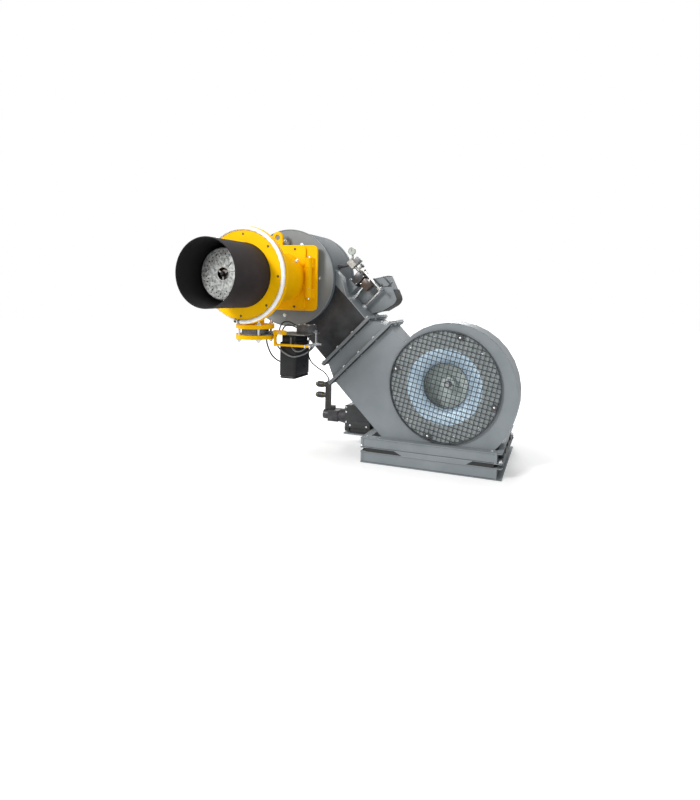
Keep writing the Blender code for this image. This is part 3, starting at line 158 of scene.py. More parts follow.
# The blast tube is rolled steel sheet with one seam. Years of heat have turned it brown-black outside,
# and soot has turned it black inside.
def finish(name, light, dark, patch, roughness, metallic=0.0, grain=0.0015, relief=0.15, edge_wear_and_highlight=None,
           drift=0.08, shine=0.5):
    """A finish that drifts between two colours in patches of a size, with a fine grain raised on it and,
    where an edge colour is given, edges lightened to that colour, partly as rubbed wear and partly as a
    painted edge highlight."""
    material = bpy.data.materials.new(name)
    material.use_nodes = True
    nodes, links = material.node_tree.nodes, material.node_tree.links
    shader = nodes["Principled BSDF"]
    shader.inputs["Metallic"].default_value = metallic
    shader.inputs["Specular IOR Level"].default_value = shine
    place = nodes.new("ShaderNodeTexCoord")
    clouds = nodes.new("ShaderNodeTexNoise")
    clouds.inputs["Scale"].default_value = 1 / patch
    clouds.inputs["Detail"].default_value = 6
    clouds.inputs["Roughness"].default_value = 0.62
    links.new(place.outputs["Object"], clouds.inputs["Vector"])
    tones = nodes.new("ShaderNodeValToRGB")
    tones.color_ramp.elements[0].position, tones.color_ramp.elements[1].position = 0.36, 0.64
    tones.color_ramp.elements[0].color, tones.color_ramp.elements[1].color = (*dark, 1), (*light, 1)
    links.new(clouds.outputs["Fac"], tones.inputs["Fac"])
    colour = tones.outputs["Color"]
    # Edges lightened to the given colour: partly rubbed wear, partly a painted highlight on every edge.
    if edge_wear_and_highlight is not None:
        softened = nodes.new("ShaderNodeBevel")
        softened.samples = 4
        softened.inputs["Radius"].default_value = 0.0016
        sharp = nodes.new("ShaderNodeNewGeometry")
        agree = nodes.new("ShaderNodeVectorMath")
        agree.operation = "DOT_PRODUCT"
        links.new(softened.outputs["Normal"], agree.inputs[0])
        links.new(sharp.outputs["Normal"], agree.inputs[1])
        edge = nodes.new("ShaderNodeMapRange")
        edge.inputs["From Min"].default_value = 0.97
        edge.inputs["From Max"].default_value = 0.80
        edge.inputs["To Max"].default_value = 0.75
        links.new(agree.outputs["Value"], edge.inputs["Value"])
        rubbed_and_highlit = nodes.new("ShaderNodeMixRGB")
        rubbed_and_highlit.inputs["Color2"].default_value = (*edge_wear_and_highlight, 1)
        links.new(edge.outputs["Result"], rubbed_and_highlit.inputs["Fac"])
        links.new(colour, rubbed_and_highlit.inputs["Color1"])
        colour = rubbed_and_highlit.outputs["Color"]
    links.new(colour, shader.inputs["Base Color"])
    polish = nodes.new("ShaderNodeMapRange")
    polish.inputs["To Min"].default_value = roughness - drift
    polish.inputs["To Max"].default_value = roughness + drift
    links.new(clouds.outputs["Fac"], polish.inputs["Value"])
    links.new(polish.outputs["Result"], shader.inputs["Roughness"])
    fine = nodes.new("ShaderNodeTexNoise")
    fine.inputs["Scale"].default_value = 1 / grain
    fine.inputs["Detail"].default_value = 3
    links.new(place.outputs["Object"], fine.inputs["Vector"])
    raised = nodes.new("ShaderNodeBump")
    raised.inputs["Strength"].default_value = relief
    raised.inputs["Distance"].default_value = grain / 3
    links.new(fine.outputs["Fac"], raised.inputs["Height"])
    links.new(raised.outputs["Normal"], shader.inputs["Normal"])
    return material


def spin(shape, profile, place, axis=(0, 1, 0), sides=96, closed=True, layer=0, turn=0.0):
    """Adds a turned solid to a mesh in the making: (radius, height) pairs round an axis through a place."""
    aim = Vector(axis).to_track_quat("Z", "Y").to_matrix()
    rings = []
    for radius, height in profile:
        count = 1 if radius == 0 else sides
        ring = []
        for k in range(count):
            angle = turn + 2 * math.pi * k / sides
            spoke = Vector((radius * math.cos(angle), radius * math.sin(angle), height))
            ring.append(shape.verts.new(Vector(place) + aim @ spoke))
        rings.append(ring)
    pairs = list(zip(rings, rings[1:])) + ([(rings[-1], rings[0])] if closed else [])
    for one, other in pairs:
        for k in range(sides):
            after = k + 1
            corners = [one[k % len(one)], one[after % len(one)], other[after % len(other)],
                       other[k % len(other)]]
            corners = list(dict.fromkeys(corners))
            if len(corners) > 2:
                shape.faces.new(corners).material_index = layer
    return shape


def piece(name, shape, materials, body, replaces=(), smooth=35):
    """Turns a mesh in the making into a piece that rides on a body."""
    bmesh.ops.recalc_face_normals(shape, faces=shape.faces)
    mesh = bpy.data.meshes.new(name)
    shape.to_mesh(mesh)
    shape.free()
    mesh.shade_smooth()
    mesh.set_sharp_from_angle(angle=math.radians(smooth))
    for material in materials if isinstance(materials, (list, tuple)) else [materials]:
        mesh.materials.append(material)
    made = bpy.data.objects.new(name, mesh)
    bpy.context.scene.collection.objects.link(made)
    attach(made, body)
    if replaces:
        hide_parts(*replaces)
    return made


tube_radius, tube_wall = 0.160, 0.004
tube_low, tube_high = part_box("blast_tube")
tube_front, tube_back = tube_low.y - datum.y, tube_high.y - datum.y
heated_steel = finish("heated_steel", (0.029, 0.023, 0.026), (0.019, 0.016, 0.018), 0.09, 0.66, relief=0.3,
                      shine=0.2)
soot = finish("soot", (0.007, 0.007, 0.007), (0.004, 0.004, 0.004), 0.05, 0.86, relief=0.4)
blast_tube = bmesh.new()
spin(blast_tube, [(tube_radius, tube_back), (tube_radius, tube_front + 0.0012),
                  (tube_radius - 0.0008, tube_front + 0.0002), (tube_radius - 0.002, tube_front)],
     at(0, 0, 0), closed=False, sides=144)
spin(blast_tube, [(tube_radius - 0.002, tube_front), (tube_radius - 0.0032, tube_front + 0.0002),
                  (tube_radius - tube_wall, tube_front + 0.0012), (tube_radius - tube_wall, tube_back)],
     at(0, 0, 0), closed=False, sides=144, layer=1)
spin(blast_tube, [(tube_radius - tube_wall, tube_back), (tube_radius, tube_back)], at(0, 0, 0), closed=False,
     sides=144)
bmesh.ops.remove_doubles(blast_tube, verts=blast_tube.verts, dist=0.00001)
piece("blast_tube_sheet", blast_tube, [heated_steel, soot], "swing_head", ["blast_tube"])
seam_angle, seam_reach, seam_bead, seam_length = math.radians(235), tube_radius - 0.0008, 0.0022, 0.260
seam_place = at(seam_reach * math.cos(seam_angle), tube_front + 0.004, seam_reach * math.sin(seam_angle))
seam = bmesh.new()
spin(seam, [(0, seam_length + 0.002), (seam_bead, seam_length), (seam_bead, 0), (0, -0.002)], seam_place,
     sides=12, closed=False)
piece("blast_tube_seam", seam, heated_steel, "swing_head")

# The front ring is a turned steel ring with yellow enamel. Eight countersunk socket screws, browned by
# heat, pull it against the boiler flange behind the rope.
yellow = finish("yellow_enamel", (0.98, 0.545, 0.001), (0.90, 0.485, 0.001), 0.16, 0.44, relief=0.05,
                edge_wear_and_highlight=(0.95, 0.58, 0.06), shine=0.06)
browned = finish("browned_screw", (0.16, 0.10, 0.06), (0.07, 0.045, 0.03), 0.006, 0.45, 0.7)


def socket_screw(shape, place, axis, radius, height):
    """A low round head with a hexagon socket."""
    spin(shape, [(0, height * 0.35), (radius * 0.52, height * 0.35), (radius * 0.52, height),
                 (radius * 0.86, height), (radius, height * 0.75), (radius, -height), (0, -height)], place,
         axis, sides=24, closed=False)


ring_radius, ring_thickness, ring_edge, ring_screw_count, screw_circle = 0.219, 0.012, 0.0012, 8, 0.2016
ring_bore = tube_radius + 0.0003
front_ring = bmesh.new()
spin(front_ring, [(ring_radius, ring_thickness), (ring_radius, ring_edge), (ring_radius - ring_edge, 0),
                  (ring_bore + ring_edge, 0), (ring_bore, ring_edge), (ring_bore, ring_thickness)],
     at(0, 0, 0), sides=144)
piece("front_ring_enamel", front_ring, yellow, "swing_head", ["front_ring"])
ring_screws = bmesh.new()
for k in range(ring_screw_count):
    angle = 2 * math.pi * k / ring_screw_count - math.radians(1)
    spot = at(screw_circle * math.cos(angle), 0.0004, screw_circle * math.sin(angle))
    socket_screw(ring_screws, spot, (0, -1, 0), 0.0062, 0.0016)
piece("ring_screws", ring_screws, browned, "swing_head")

# The gasket is a white ceramic rope laid round the ring. Its two ends meet at the bottom under a dark
# wire binding.
rope_white = finish("ceramic_rope", (0.98, 0.98, 0.97), (0.90, 0.90, 0.88), 0.02, 0.92, grain=0.0008,
                    relief=0.4)
rope_radius, strands = 0.0104, 3
rope_circle = ring_radius + 0.0003 + rope_radius
rope = bmesh.new()
rope_steps, section_steps, rope_twists = 432, 15, 40
rope_rings = []
rope_y = ring_thickness - rope_radius
for k in range(rope_steps):
    along = 2 * math.pi * k / rope_steps
    ring = []
    for j in range(section_steps):
        around = 2 * math.pi * j / section_steps
        radius = rope_radius * (0.945 + 0.05 * math.cos(strands * around + rope_twists * along))
        reach = rope_circle + radius * math.cos(around)
        spot = at(reach * math.cos(along), rope_y + radius * math.sin(around), reach * math.sin(along))
        ring.append(rope.verts.new(spot))
    rope_rings.append(ring)
for k in range(rope_steps):
    one, other = rope_rings[k], rope_rings[(k + 1) % rope_steps]
    for j in range(section_steps):
        rope.faces.new((one[j], one[(j + 1) % section_steps], other[(j + 1) % section_steps], other[j]))
piece("rope_strands", rope, rope_white, "swing_head", ["gasket_rope"], smooth=80)
binding = bmesh.new()
wire_half, wire_turns, wire_pitch = 0.0012, 5, 0.0026
for angle in (math.radians(-98.0), math.radians(-93.5)):
    along = Vector((-math.sin(angle), 0, math.cos(angle)))
    spot = at(rope_circle * math.cos(angle), rope_y, rope_circle * math.sin(angle))
    for turn in range(wire_turns):
        spin(binding, [(rope_radius * 0.90, wire_half), (rope_radius, wire_half / 2),
                       (rope_radius, -wire_half / 2), (rope_radius * 0.90, -wire_half)],
             spot + along * (turn - 2) * wire_pitch, along, sides=20)
binding_wire = finish("binding_wire", (0.05, 0.035, 0.03), (0.02, 0.016, 0.015), 0.01, 0.5, 0.6)
piece("rope_binding", binding, binding_wire, "swing_head")


# The head housing is one iron casting with yellow enamel: boiler flange, tapering body, square rear
# flange, gas inlet, hinge knuckle and lifting eye. A hexagon bolt and four socket screws clamp it to the
# hinge plate, and a plated test nipple is screwed into its shoulder.
def rounded_edges():
    """Node group that welds a CAD mesh and shades it smooth up to an angle."""
    group = bpy.data.node_groups.new("smooth_by_angle", "GeometryNodeTree")
    group.interface.new_socket("Geometry", in_out="INPUT", socket_type="NodeSocketGeometry")
    group.interface.new_socket("Geometry", in_out="OUTPUT", socket_type="NodeSocketGeometry")
    nodes, links = group.nodes, group.links
    arrive, leave = nodes.new("NodeGroupInput"), nodes.new("NodeGroupOutput")
    weld = nodes.new("GeometryNodeMergeByDistance")
    weld.inputs["Distance"].default_value = 0.00002
    plain = nodes.new("GeometryNodeRemoveAttribute")
    plain.inputs["Name"].default_value = "custom_normal"
    smooth = nodes.new("GeometryNodeSetShadeSmooth")
    smooth.domain = "FACE"
    sharp = nodes.new("GeometryNodeSetShadeSmooth")
    sharp.domain = "EDGE"
    sharp.inputs["Shade Smooth"].default_value = False
    angle = nodes.new("GeometryNodeInputMeshEdgeAngle")
    over = nodes.new("FunctionNodeCompare")
    over.data_type, over.operation = "FLOAT", "GREATER_THAN"
    over.inputs[1].default_value = math.radians(32)
    links.new(arrive.outputs[0], weld.inputs["Geometry"])
    links.new(weld.outputs["Geometry"], plain.inputs["Geometry"])
    links.new(plain.outputs["Geometry"], smooth.inputs["Geometry"])
    links.new(smooth.outputs["Geometry"], sharp.inputs["Geometry"])
    links.new(angle.outputs["Unsigned Angle"], over.inputs[0])
    links.new(over.outputs[0], sharp.inputs["Selection"])
    links.new(sharp.outputs["Geometry"], leave.inputs[0])
    return group


smooth_by_angle = rounded_edges()


def dress(node, material, edge=0.0):
    """Gives a CAD node its finish, smooth round faces and, where asked, softly rounded edges."""
    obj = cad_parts[node]
    obj.data.materials.clear()
    obj.data.materials.append(material)
    smoothing = obj.modifiers.new("Smooth", "NODES")
    smoothing.node_group = smooth_by_angle
    if edge:
        bevel = obj.modifiers.new("Edges", "BEVEL")
        bevel.width, bevel.segments = edge, 2
        bevel.limit_method, bevel.angle_limit = "ANGLE", math.radians(40)
        bevel.harden_normals = True


zinc = finish("zinc_plate", (0.88, 0.90, 0.92), (0.64, 0.66, 0.68), 0.012, 0.26, 0.65, relief=0.1)


def hex_bolt(shape, place, axis, across, washer=True):
    """A hexagon head of a width across flats, on a washer where it has one."""
    thin = across * 0.14 if washer else 0.0
    if washer:
        spin(shape, [(0, thin), (across * 0.86, thin), (across * 0.90, thin * 0.6), (across * 0.90, -0.0004),
                     (0, -0.0004)], place, axis, sides=24, closed=False)
    foot = Vector(place) + Vector(axis).normalized() * thin
    spin(shape, [(0, across * 0.42), (across * 0.44, across * 0.42), (across * 0.55, across * 0.36),
                 (across * 0.577, across * 0.34), (across * 0.577, 0), (0, -0.0004)], foot, axis, sides=6,
         closed=False, turn=0.3)


dress("head_housing", yellow, 0.0016)
parting_y, flange_thickness = 0.392, 0.0123
flange_face_y = parting_y - flange_thickness
clamp_spot = at(-0.172, flange_face_y, 0)
clamp_bolts = bmesh.new()
hex_bolt(clamp_bolts, clamp_spot, (0, -1, 0), 0.017)
spin(clamp_bolts, [(0, 0.017), (0.0045, 0.017), (0.005, 0.016), (0.005, 0), (0, 0)], clamp_spot, (0, -1, 0),
     sides=16, closed=False)
nipple_angle, nipple_y, nipple_reach = math.radians(40), 0.334, 0.1375
nipple_way = Vector((math.cos(nipple_angle), 0, math.sin(nipple_angle)))
nipple_foot = at(0, nipple_y, 0) + nipple_way * nipple_reach
spin(clamp_bolts, [(0, 0.006), (0.0085, 0.006), (0.0092, 0.005), (0.0092, 0), (0, 0)], nipple_foot,
     nipple_way, sides=6, closed=False)
spin(clamp_bolts, [(0, 0.021), (0.0048, 0.021), (0.0055, 0.020), (0.0055, 0.006), (0, 0.006)], nipple_foot,
     nipple_way, sides=24, closed=False)
piece("clamp_bolts", clamp_bolts, zinc, "swing_head")
flange_screws = bmesh.new()
for x in (0.073, -0.165):
    for z in (0.160, -0.160):
        socket_screw(flange_screws, at(x, flange_face_y, z), (0, -1, 0), 0.0065, 0.004)
piece("flange_screws", flange_screws, browned, "swing_head")

# The diffuser is a pressed disc of galvanised steel, held inside the blast tube. Its vanes are slit and
# bent open round the centre hole, and rows of small holes let air through the rim.
def cut_out(obj, cutter_shape):
    """Cuts a mesh in the making out of a finished piece for good."""
    bmesh.ops.recalc_face_normals(cutter_shape, faces=cutter_shape.faces)
    cutter_mesh = bpy.data.meshes.new("cutter")
    cutter_shape.to_mesh(cutter_mesh)
    cutter_shape.free()
    cutter = bpy.data.objects.new("cutter", cutter_mesh)
    bpy.context.scene.collection.objects.link(cutter)
    change = obj.modifiers.new("Cut", "BOOLEAN")
    change.object, change.operation, change.solver = cutter, "DIFFERENCE", "EXACT"
    bpy.context.view_layer.update()
    mesh = bpy.data.meshes.new_from_object(obj.evaluated_get(bpy.context.evaluated_depsgraph_get()))
    obj.modifiers.clear()
    obj.data = mesh
    bpy.data.objects.remove(cutter)


spangle = finish("galvanised", (0.47, 0.48, 0.46), (0.15, 0.155, 0.15), 0.012, 0.5, 0.4, grain=0.004,
                 relief=0.8)
diffuser_radius, diffuser_face, hole_radius = 0.124, -0.147, 0.029
vane_count, vane_inner, vane_outer, vane_rise = 10, 0.037, 0.080, 0.0045
steps_in_vane, sheet_thickness, rim_width, diffuser_turn = 16, 0.002, 0.006, 0.2
rim_start = diffuser_radius - rim_width
sheet_middle = diffuser_face + 0.0026
diffuser = bmesh.new()
radii = [hole_radius, 0.033, vane_inner, 0.045, 0.055, 0.065, 0.074, vane_outer, 0.088, 0.100, 0.112,
         rim_start, 0.122, diffuser_radius]
sectors = vane_count * steps_in_vane
sheet_rings = []
for radius in radii:
    ring = []
    for k in range(sectors):
        share = (k / steps_in_vane) % 1.0
        across_vane = (radius - vane_inner) / (vane_outer - vane_inner)
        window = math.sin(math.pi * across_vane) if vane_inner < radius < vane_outer else 0
        lift = vane_rise * window * (share - 0.5 if share > 0 else 0.46)
        rim = rim_width * max(0.0, (radius - rim_start) / rim_width) ** 2
        angle = 2 * math.pi * k / sectors + diffuser_turn
        spot = at(radius * math.cos(angle), sheet_middle + lift + rim, radius * math.sin(angle))
        ring.append(diffuser.verts.new(spot))
    sheet_rings.append(ring)
for one, other in zip(sheet_rings, sheet_rings[1:]):
    for k in range(sectors):
        diffuser.faces.new((one[k], one[(k + 1) % sectors], other[(k + 1) % sectors], other[k]))
disc = piece("diffuser_disc", diffuser, spangle, "swing_head", ["diffuser"], smooth=28)
sheet = disc.modifiers.new("Sheet", "SOLIDIFY")
sheet.thickness, sheet.offset = sheet_thickness, 0
holes, drill_half = bmesh.new(), 0.02
for row_radius, count, size in ((0.094, 24, 0.0034), (0.108, 30, 0.0027), (0.083, 12, 0.0032)):
    for k in range(count):
        angle = 2 * math.pi * (k + 0.5) / count
        spot = at(row_radius * math.cos(angle), diffuser_face, row_radius * math.sin(angle))
        spin(holes, [(0, drill_half), (size, drill_half), (size, -drill_half), (0, -drill_half)], spot,
             sides=10, closed=False)
cut_out(disc, holes)
rivets, arm_count = bmesh.new(), 3
for k in range(arm_count):
    angle = 2 * math.pi * k / arm_count + math.pi / 2
    for reach in (0.068, 0.098):
        spot = at(reach * math.cos(angle), diffuser_face + 0.0004, reach * math.sin(angle))
        spin(rivets, [(0, 0.0024), (0.003, 0.0019), (0.0045, 0), (0.0045, -0.001), (0, -0.001)], spot,
             (0, -1, 0), sides=16, closed=False)
piece("diffuser_rivets", rivets, spangle, "swing_head")

# The gas lance is a bent steel pipe that carries the diffuser on three welded arms. The dark steel oil
# nozzle is screwed into its front.
pipe_steel = finish("pipe_steel", (0.30, 0.29, 0.28), (0.15, 0.14, 0.135), 0.03, 0.5, 0.85, relief=0.3)
dress("gas_lance", pipe_steel, 0.0006)
nozzle_steel = finish("nozzle_steel", (0.030, 0.028, 0.026), (0.016, 0.015, 0.014), 0.008, 0.34, 0.6,
                      relief=0.1)
dress("oil_nozzle", nozzle_steel, 0.0004)

# The gas inlet is an iron butterfly valve, clamped by four zinc-plated studs between the yellow flange of
# the casting and a loose yellow flange. A fibre gasket lies on either side of it.
cast_iron = finish("cast_iron", (0.17, 0.18, 0.19), (0.09, 0.095, 0.10), 0.012, 0.42, 0.6, grain=0.0022,
                   relief=0.45)
machined = finish("machined_steel", (0.60, 0.61, 0.62), (0.42, 0.43, 0.44), 0.006, 0.3, 1.0, relief=0.12)
dress("lower_gas_flange", yellow, 0.0016)
dress("butterfly_body", cast_iron, 0.0012)
dress("butterfly_disc", machined, 0.0005)
dress("valve_shaft", machined, 0.0005)
gas_y, stud_count, stud_reach, stud_radius, nut_size = 0.118, 4, 0.0800, 0.006, 0.019
top_flange_top, low_flange_low = -0.247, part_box("lower_gas_flange")[0].z - datum.z
stud_top, stud_foot = top_flange_top + 0.020, low_flange_low - 0.018
studs = bmesh.new()
for k in range(stud_count):
    angle = math.pi / 4 + 2 * math.pi * k / stud_count
    x, y = stud_reach * math.cos(angle), gas_y + stud_reach * math.sin(angle)
    spin(studs, [(0, stud_top), (stud_radius * 0.75, stud_top), (stud_radius, stud_top - 0.002),
                 (stud_radius, stud_foot + 0.002), (stud_radius * 0.75, stud_foot), (0, stud_foot)],
         at(x, y, 0), (0, 0, 1), sides=20, closed=False)
    hex_bolt(studs, at(x, y, top_flange_top), (0, 0, 1), nut_size)
    hex_bolt(studs, at(x, y, low_flange_low), (0, 0, -1), nut_size)
piece("gas_flange_studs", studs, zinc, "swing_head")
gasket_fibre = finish("gasket_fibre", (0.10, 0.11, 0.09), (0.05, 0.055, 0.045), 0.01, 0.9)
gasket_outer, gasket_inner, gasket_half = 0.0705, 0.066, 0.0004
gaskets = bmesh.new()
body_low, body_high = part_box("butterfly_body")
for height in (body_low.z - datum.z, body_high.z - datum.z):
    spin(gaskets, [(gasket_outer, gasket_half), (gasket_outer, -gasket_half), (gasket_inner, -gasket_half),
                   (gasket_inner, gasket_half)], at(0, gas_y, height), (0, 0, 1), sides=64)
piece("gas_gaskets", gaskets, gasket_fibre, "swing_head")

# The butterfly's crank is a yellow forging clamped on the valve's shaft by a socket screw. Its long rod
# takes the link of the servo.
dress("valve_crank", yellow, 0.0012)
gas_valve_z, crank_boss_x, crank_boss_radius, crank_pin_x, crank_throw = -0.284, 0.150, 0.011, 0.311, 0.063
crank_screw = bmesh.new()
socket_screw(crank_screw, at(crank_boss_x, gas_y - crank_boss_radius, gas_valve_z), (0, -1, 0), 0.0045, 0.004)
spin(crank_screw, [(0, 0.004), (0.005, 0.004), (0.0062, 0.0028), (0.0062, 0), (0, 0)],
     at(crank_pin_x, gas_y, gas_valve_z - crank_throw), (1, 0, 0), sides=20, closed=False)
piece("crank_screws", crank_screw, zinc, "gas_valve")

# The servo hangs from a zinc-plated bracket, its zinc painted darker as the shade under the drum. Its housing
# is black moulded plastic with rounded upright corners and a cover held by four screws; the small gearbox on
# the bracket turns the lever.
moulded = finish("moulded_black", (0.015, 0.016, 0.017), (0.010, 0.010, 0.011), 0.05, 0.30, grain=0.0009,
                 relief=0.18, edge_wear_and_highlight=(0.07, 0.072, 0.076), shine=0.28)


def rounded_column(shape, low, high, radius, edge, steps=8):
    """An upright block with round vertical corners and small rounds on its upper and lower edges."""
    (x0, y0, z0), (x1, y1, z1) = low, high
    levels = [(z0, edge), (z0 + edge * 0.3, edge * 0.3), (z0 + edge, 0),
              (z1 - edge, 0), (z1 - edge * 0.3, edge * 0.3), (z1, edge)]
    rings = []
    for z, inset in levels:
        ring = []
        for quarter, (cx, cy) in enumerate(((x1 - radius, y1 - radius), (x0 + radius, y1 - radius),
                                            (x0 + radius, y0 + radius), (x1 - radius, y0 + radius))):
            for k in range(steps + 1):
                angle = math.pi / 2 * (quarter + k / steps)
                x, y = cx + (radius - inset) * math.cos(angle), cy + (radius - inset) * math.sin(angle)
                ring.append(shape.verts.new(at(x, y, z)))
        rings.append(ring)
    for one, other in zip(rings, rings[1:]):
        for k in range(len(one)):
            shape.faces.new((one[k], one[(k + 1) % len(one)], other[(k + 1) % len(one)], other[k]))
    shape.faces.new(rings[0])
    shape.faces.new(rings[-1])


def inside(node):
    """The two corners of a CAD node's box, measured from the datum."""
    low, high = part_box(node)
    return low - datum, high - datum


def corner_screws(shape, low, high, inset, z, aim, radius, height):
    """Four socket screws near the corners of a box's cover."""
    for x in (low.x + inset, high.x - inset):
        for y in (low.y + inset, high.y - inset):
            socket_screw(shape, at(x, y, z), aim, radius, height)


# Painted shade: the bracket's zinc is darkened for the shade under the drum.
shaded_bracket_zinc = finish("shaded_bracket_zinc", (0.30, 0.31, 0.32), (0.19, 0.20, 0.21), 0.02, 0.36, 0.7, relief=0.15)
dress("servo_bracket", shaded_bracket_zinc, 0.0008)
box_low, box_high = inside("gas_servo_box")
neck_z, cover_top = -0.338, box_low.z + 0.0125
servo_box = bmesh.new()
for inset, foot, top, corner, edge in ((0.000, cover_top + 0.0015, neck_z, 0.016, 0.004),
                                       (0.002, box_low.z, cover_top, 0.015, 0.004),
                                       (0.006, cover_top - 0.0005, cover_top + 0.0025, 0.012, 0.0005),
                                       (0.008, neck_z - 0.002, box_high.z, 0.012, 0.002)):
    rounded_column(servo_box, (box_low.x + inset, box_low.y + inset, foot),
                   (box_high.x - inset, box_high.y - inset, top), corner, edge)
piece("servo_housing", servo_box, moulded, "swing_head", ["gas_servo_box"])
servo_screws = bmesh.new()
corner_screws(servo_screws, box_low, box_high, 0.012, box_low.z + 0.0006, (0, 0, -1), 0.0035, 0.0004)
piece("servo_screws", servo_screws, zinc, "swing_head")
die_cast = finish("die_cast", (0.13, 0.135, 0.14), (0.075, 0.08, 0.085), 0.014, 0.42, 0.4, relief=0.3)
dress("servo_gearbox", die_cast, 0.003)
gear_low, gear_high = inside("servo_gearbox")
gear_screws = bmesh.new()
corner_screws(gear_screws, gear_low, gear_high, 0.010, gear_high.z, (0, 0, 1), 0.004, 0.003)
piece("gearbox_screws", gear_screws, zinc, "swing_head")
dress("gas_servo_lever", machined, 0.0007)
dress("gas_link", zinc, 0.0007)

# The cables are short and held at both ends: a black one from the valve to the servo, two grey spiral
# conduits, two leads on the bracket, and the oil pump's that climbs to the duct. Each starts in a gland.
cable_rubber = finish("cable_rubber", (0.022, 0.022, 0.023), (0.012, 0.012, 0.012), 0.02, 0.46, relief=0.2)
conduit_grey = finish("conduit_grey", (0.20, 0.215, 0.22), (0.12, 0.13, 0.135), 0.03, 0.42, relief=0.2)


def smooth_way(points, spacing):
    """Points about one spacing apart on a smooth curve through the given ones."""
    points = [Vector(p) for p in points]
    ends = [2 * points[0] - points[1], *points, 2 * points[-1] - points[-2]]
    way = []
    for before, start, end, after in zip(ends, ends[1:], ends[2:], ends[3:]):
        count = max(2, round((end - start).length / spacing))
        for k in range(count):
            t = k / count
            way.append(0.5 * ((2 * start) + (end - before) * t
                              + (2 * before - 5 * start + 4 * end - after) * t * t
                              + (3 * start - before - 3 * end + after) * t * t * t))
    return [*way, points[-1]]


def cable(name, points, radius, material, body, replaces, ribbed=False):
    """A held cable; a ribbed one has the small rings of a spiral conduit."""
    spacing = 0.0011 if ribbed else 0.004
    sides = 14
    way = [at(*p) for p in smooth_way(points, spacing)]
    shape = bmesh.new()
    side = Vector((1, 0, 0.2)).normalized()
    rings = []
    for k, spot in enumerate(way):
        along = (way[min(k + 1, len(way) - 1)] - way[max(k - 1, 0)]).normalized()
        side = (side - along * side.dot(along)).normalized()
        up = along.cross(side)
        size = radius * (0.90 if ribbed and k % 2 else 1.0)
        rings.append([shape.verts.new(spot + (side * math.cos(a) + up * math.sin(a)) * size)
                      for a in (2 * math.pi * j / sides for j in range(sides))])
    for one, other in zip(rings, rings[1:]):
        for j in range(sides):
            shape.faces.new((one[j], one[(j + 1) % sides], other[(j + 1) % sides], other[j]))
    shape.faces.new(rings[0])
    shape.faces.new(rings[-1])
    return piece(name, shape, material, body, replaces, smooth=60)


def gland(shape, place, axis, across=0.014, length=0.012):
    """The nut and rounded cap of a cable gland."""
    spin(shape, [(0, 0.005), (across * 0.55, 0.005), (across * 0.577, 0.004), (across * 0.577, -0.0004),
                 (0, -0.0004)], place, axis, sides=6, closed=False)
    spin(shape, [(0, length), (across * 0.32, length), (across * 0.42, length * 0.8), (across * 0.46, 0.004),
                 (0, 0.004)], place, axis, sides=24, closed=False)


under_bracket, cable_radius, cable_gap = -0.3003, 0.004, 0.0006
cable("valve_lead", [(0.000, 0.222, under_bracket), (0.001, 0.222, -0.345), (0.009, 0.225, -0.378),
                     (0.030, 0.228, -0.418), (0.068, 0.230, -0.446), (box_low.x - cable_gap, 0.232, -0.452)],
      cable_radius, cable_rubber, "swing_head", ["valve_cable"])
cable("long_conduit", [(0.098, 0.158, under_bracket), (0.101, 0.157, -0.345), (0.128, 0.155, -0.377),
                       (0.165, 0.155, -0.400), (0.202, 0.156, -0.409), (0.235, 0.170, -0.402),
                       (0.252, 0.205, -0.390), (0.256, 0.260, -0.370), (0.250, 0.300, -0.345),
                       (0.248, 0.310, under_bracket)], cable_radius, conduit_grey, "swing_head",
      ["servo_conduit_long"], ribbed=True)
cable("short_conduit", [(0.182, 0.163, under_bracket), (0.184, 0.160, -0.345), (0.197, 0.157, -0.368),
                        (0.215, 0.160, -0.381), (0.236, 0.178, -0.378), (0.246, 0.205, -0.362),
                        (0.247, 0.232, -0.340), (0.246, 0.240, under_bracket)], cable_radius, conduit_grey,
      "swing_head", ["servo_conduit_short"], ribbed=True)
lead_radius = 0.0035
cable("actuator_lead_a", [(0.098, 0.190, -0.2950), (0.100, 0.190, -0.268), (0.114, 0.194, -0.240),
                          (0.140, 0.205, -0.233), (0.166, 0.220, -0.246), (0.1868, 0.230, -0.2620)],
      lead_radius, cable_rubber, "swing_head", [])
cable("actuator_lead_b", [(0.122, 0.180, -0.2950), (0.124, 0.182, -0.270), (0.138, 0.194, -0.252),
                          (0.158, 0.212, -0.254), (0.1868, 0.244, -0.2720)], lead_radius, cable_rubber,
      "swing_head", [])
manifold_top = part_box("oil_manifold")[1].z - datum.z
duct_side_x, duct_side_z = 0.1120, -0.3547
cable("pump_lead", [(0.114, 0.748, manifold_top + cable_gap), (0.113, 0.748, manifold_top + 0.020),
                    (0.090, 0.735, -0.582), (0.054, 0.705, -0.548), (0.030, 0.665, -0.505),
                    (0.033, 0.630, -0.450), (0.070, 0.620, -0.396), (duct_side_x, 0.620, duct_side_z)],
      cable_radius, cable_rubber, "frame", ["pump_cable"])
head_glands = bmesh.new()
for x, y in ((0.000, 0.222), (0.098, 0.158), (0.248, 0.310), (0.182, 0.163), (0.246, 0.240)):
    gland(head_glands, at(x, y, under_bracket + cable_gap), (0, 0, -1))
gland(head_glands, at(box_low.x, 0.232, -0.452), (-1, 0, 0))
for x, y in ((0.098, 0.190), (0.122, 0.180)):
    gland(head_glands, at(x, y, -0.2952), (0, 0, 1), 0.012, 0.010)
piece("servo_glands", head_glands, moulded, "swing_head")
frame_glands = bmesh.new()
gland(frame_glands, at(0.114, 0.748, manifold_top), (0, 0, 1), 0.013)
gland(frame_glands, at(duct_side_x, 0.620, duct_side_z), (-0.707, 0, -0.707))
piece("pump_cable_glands", frame_glands, moulded, "frame")

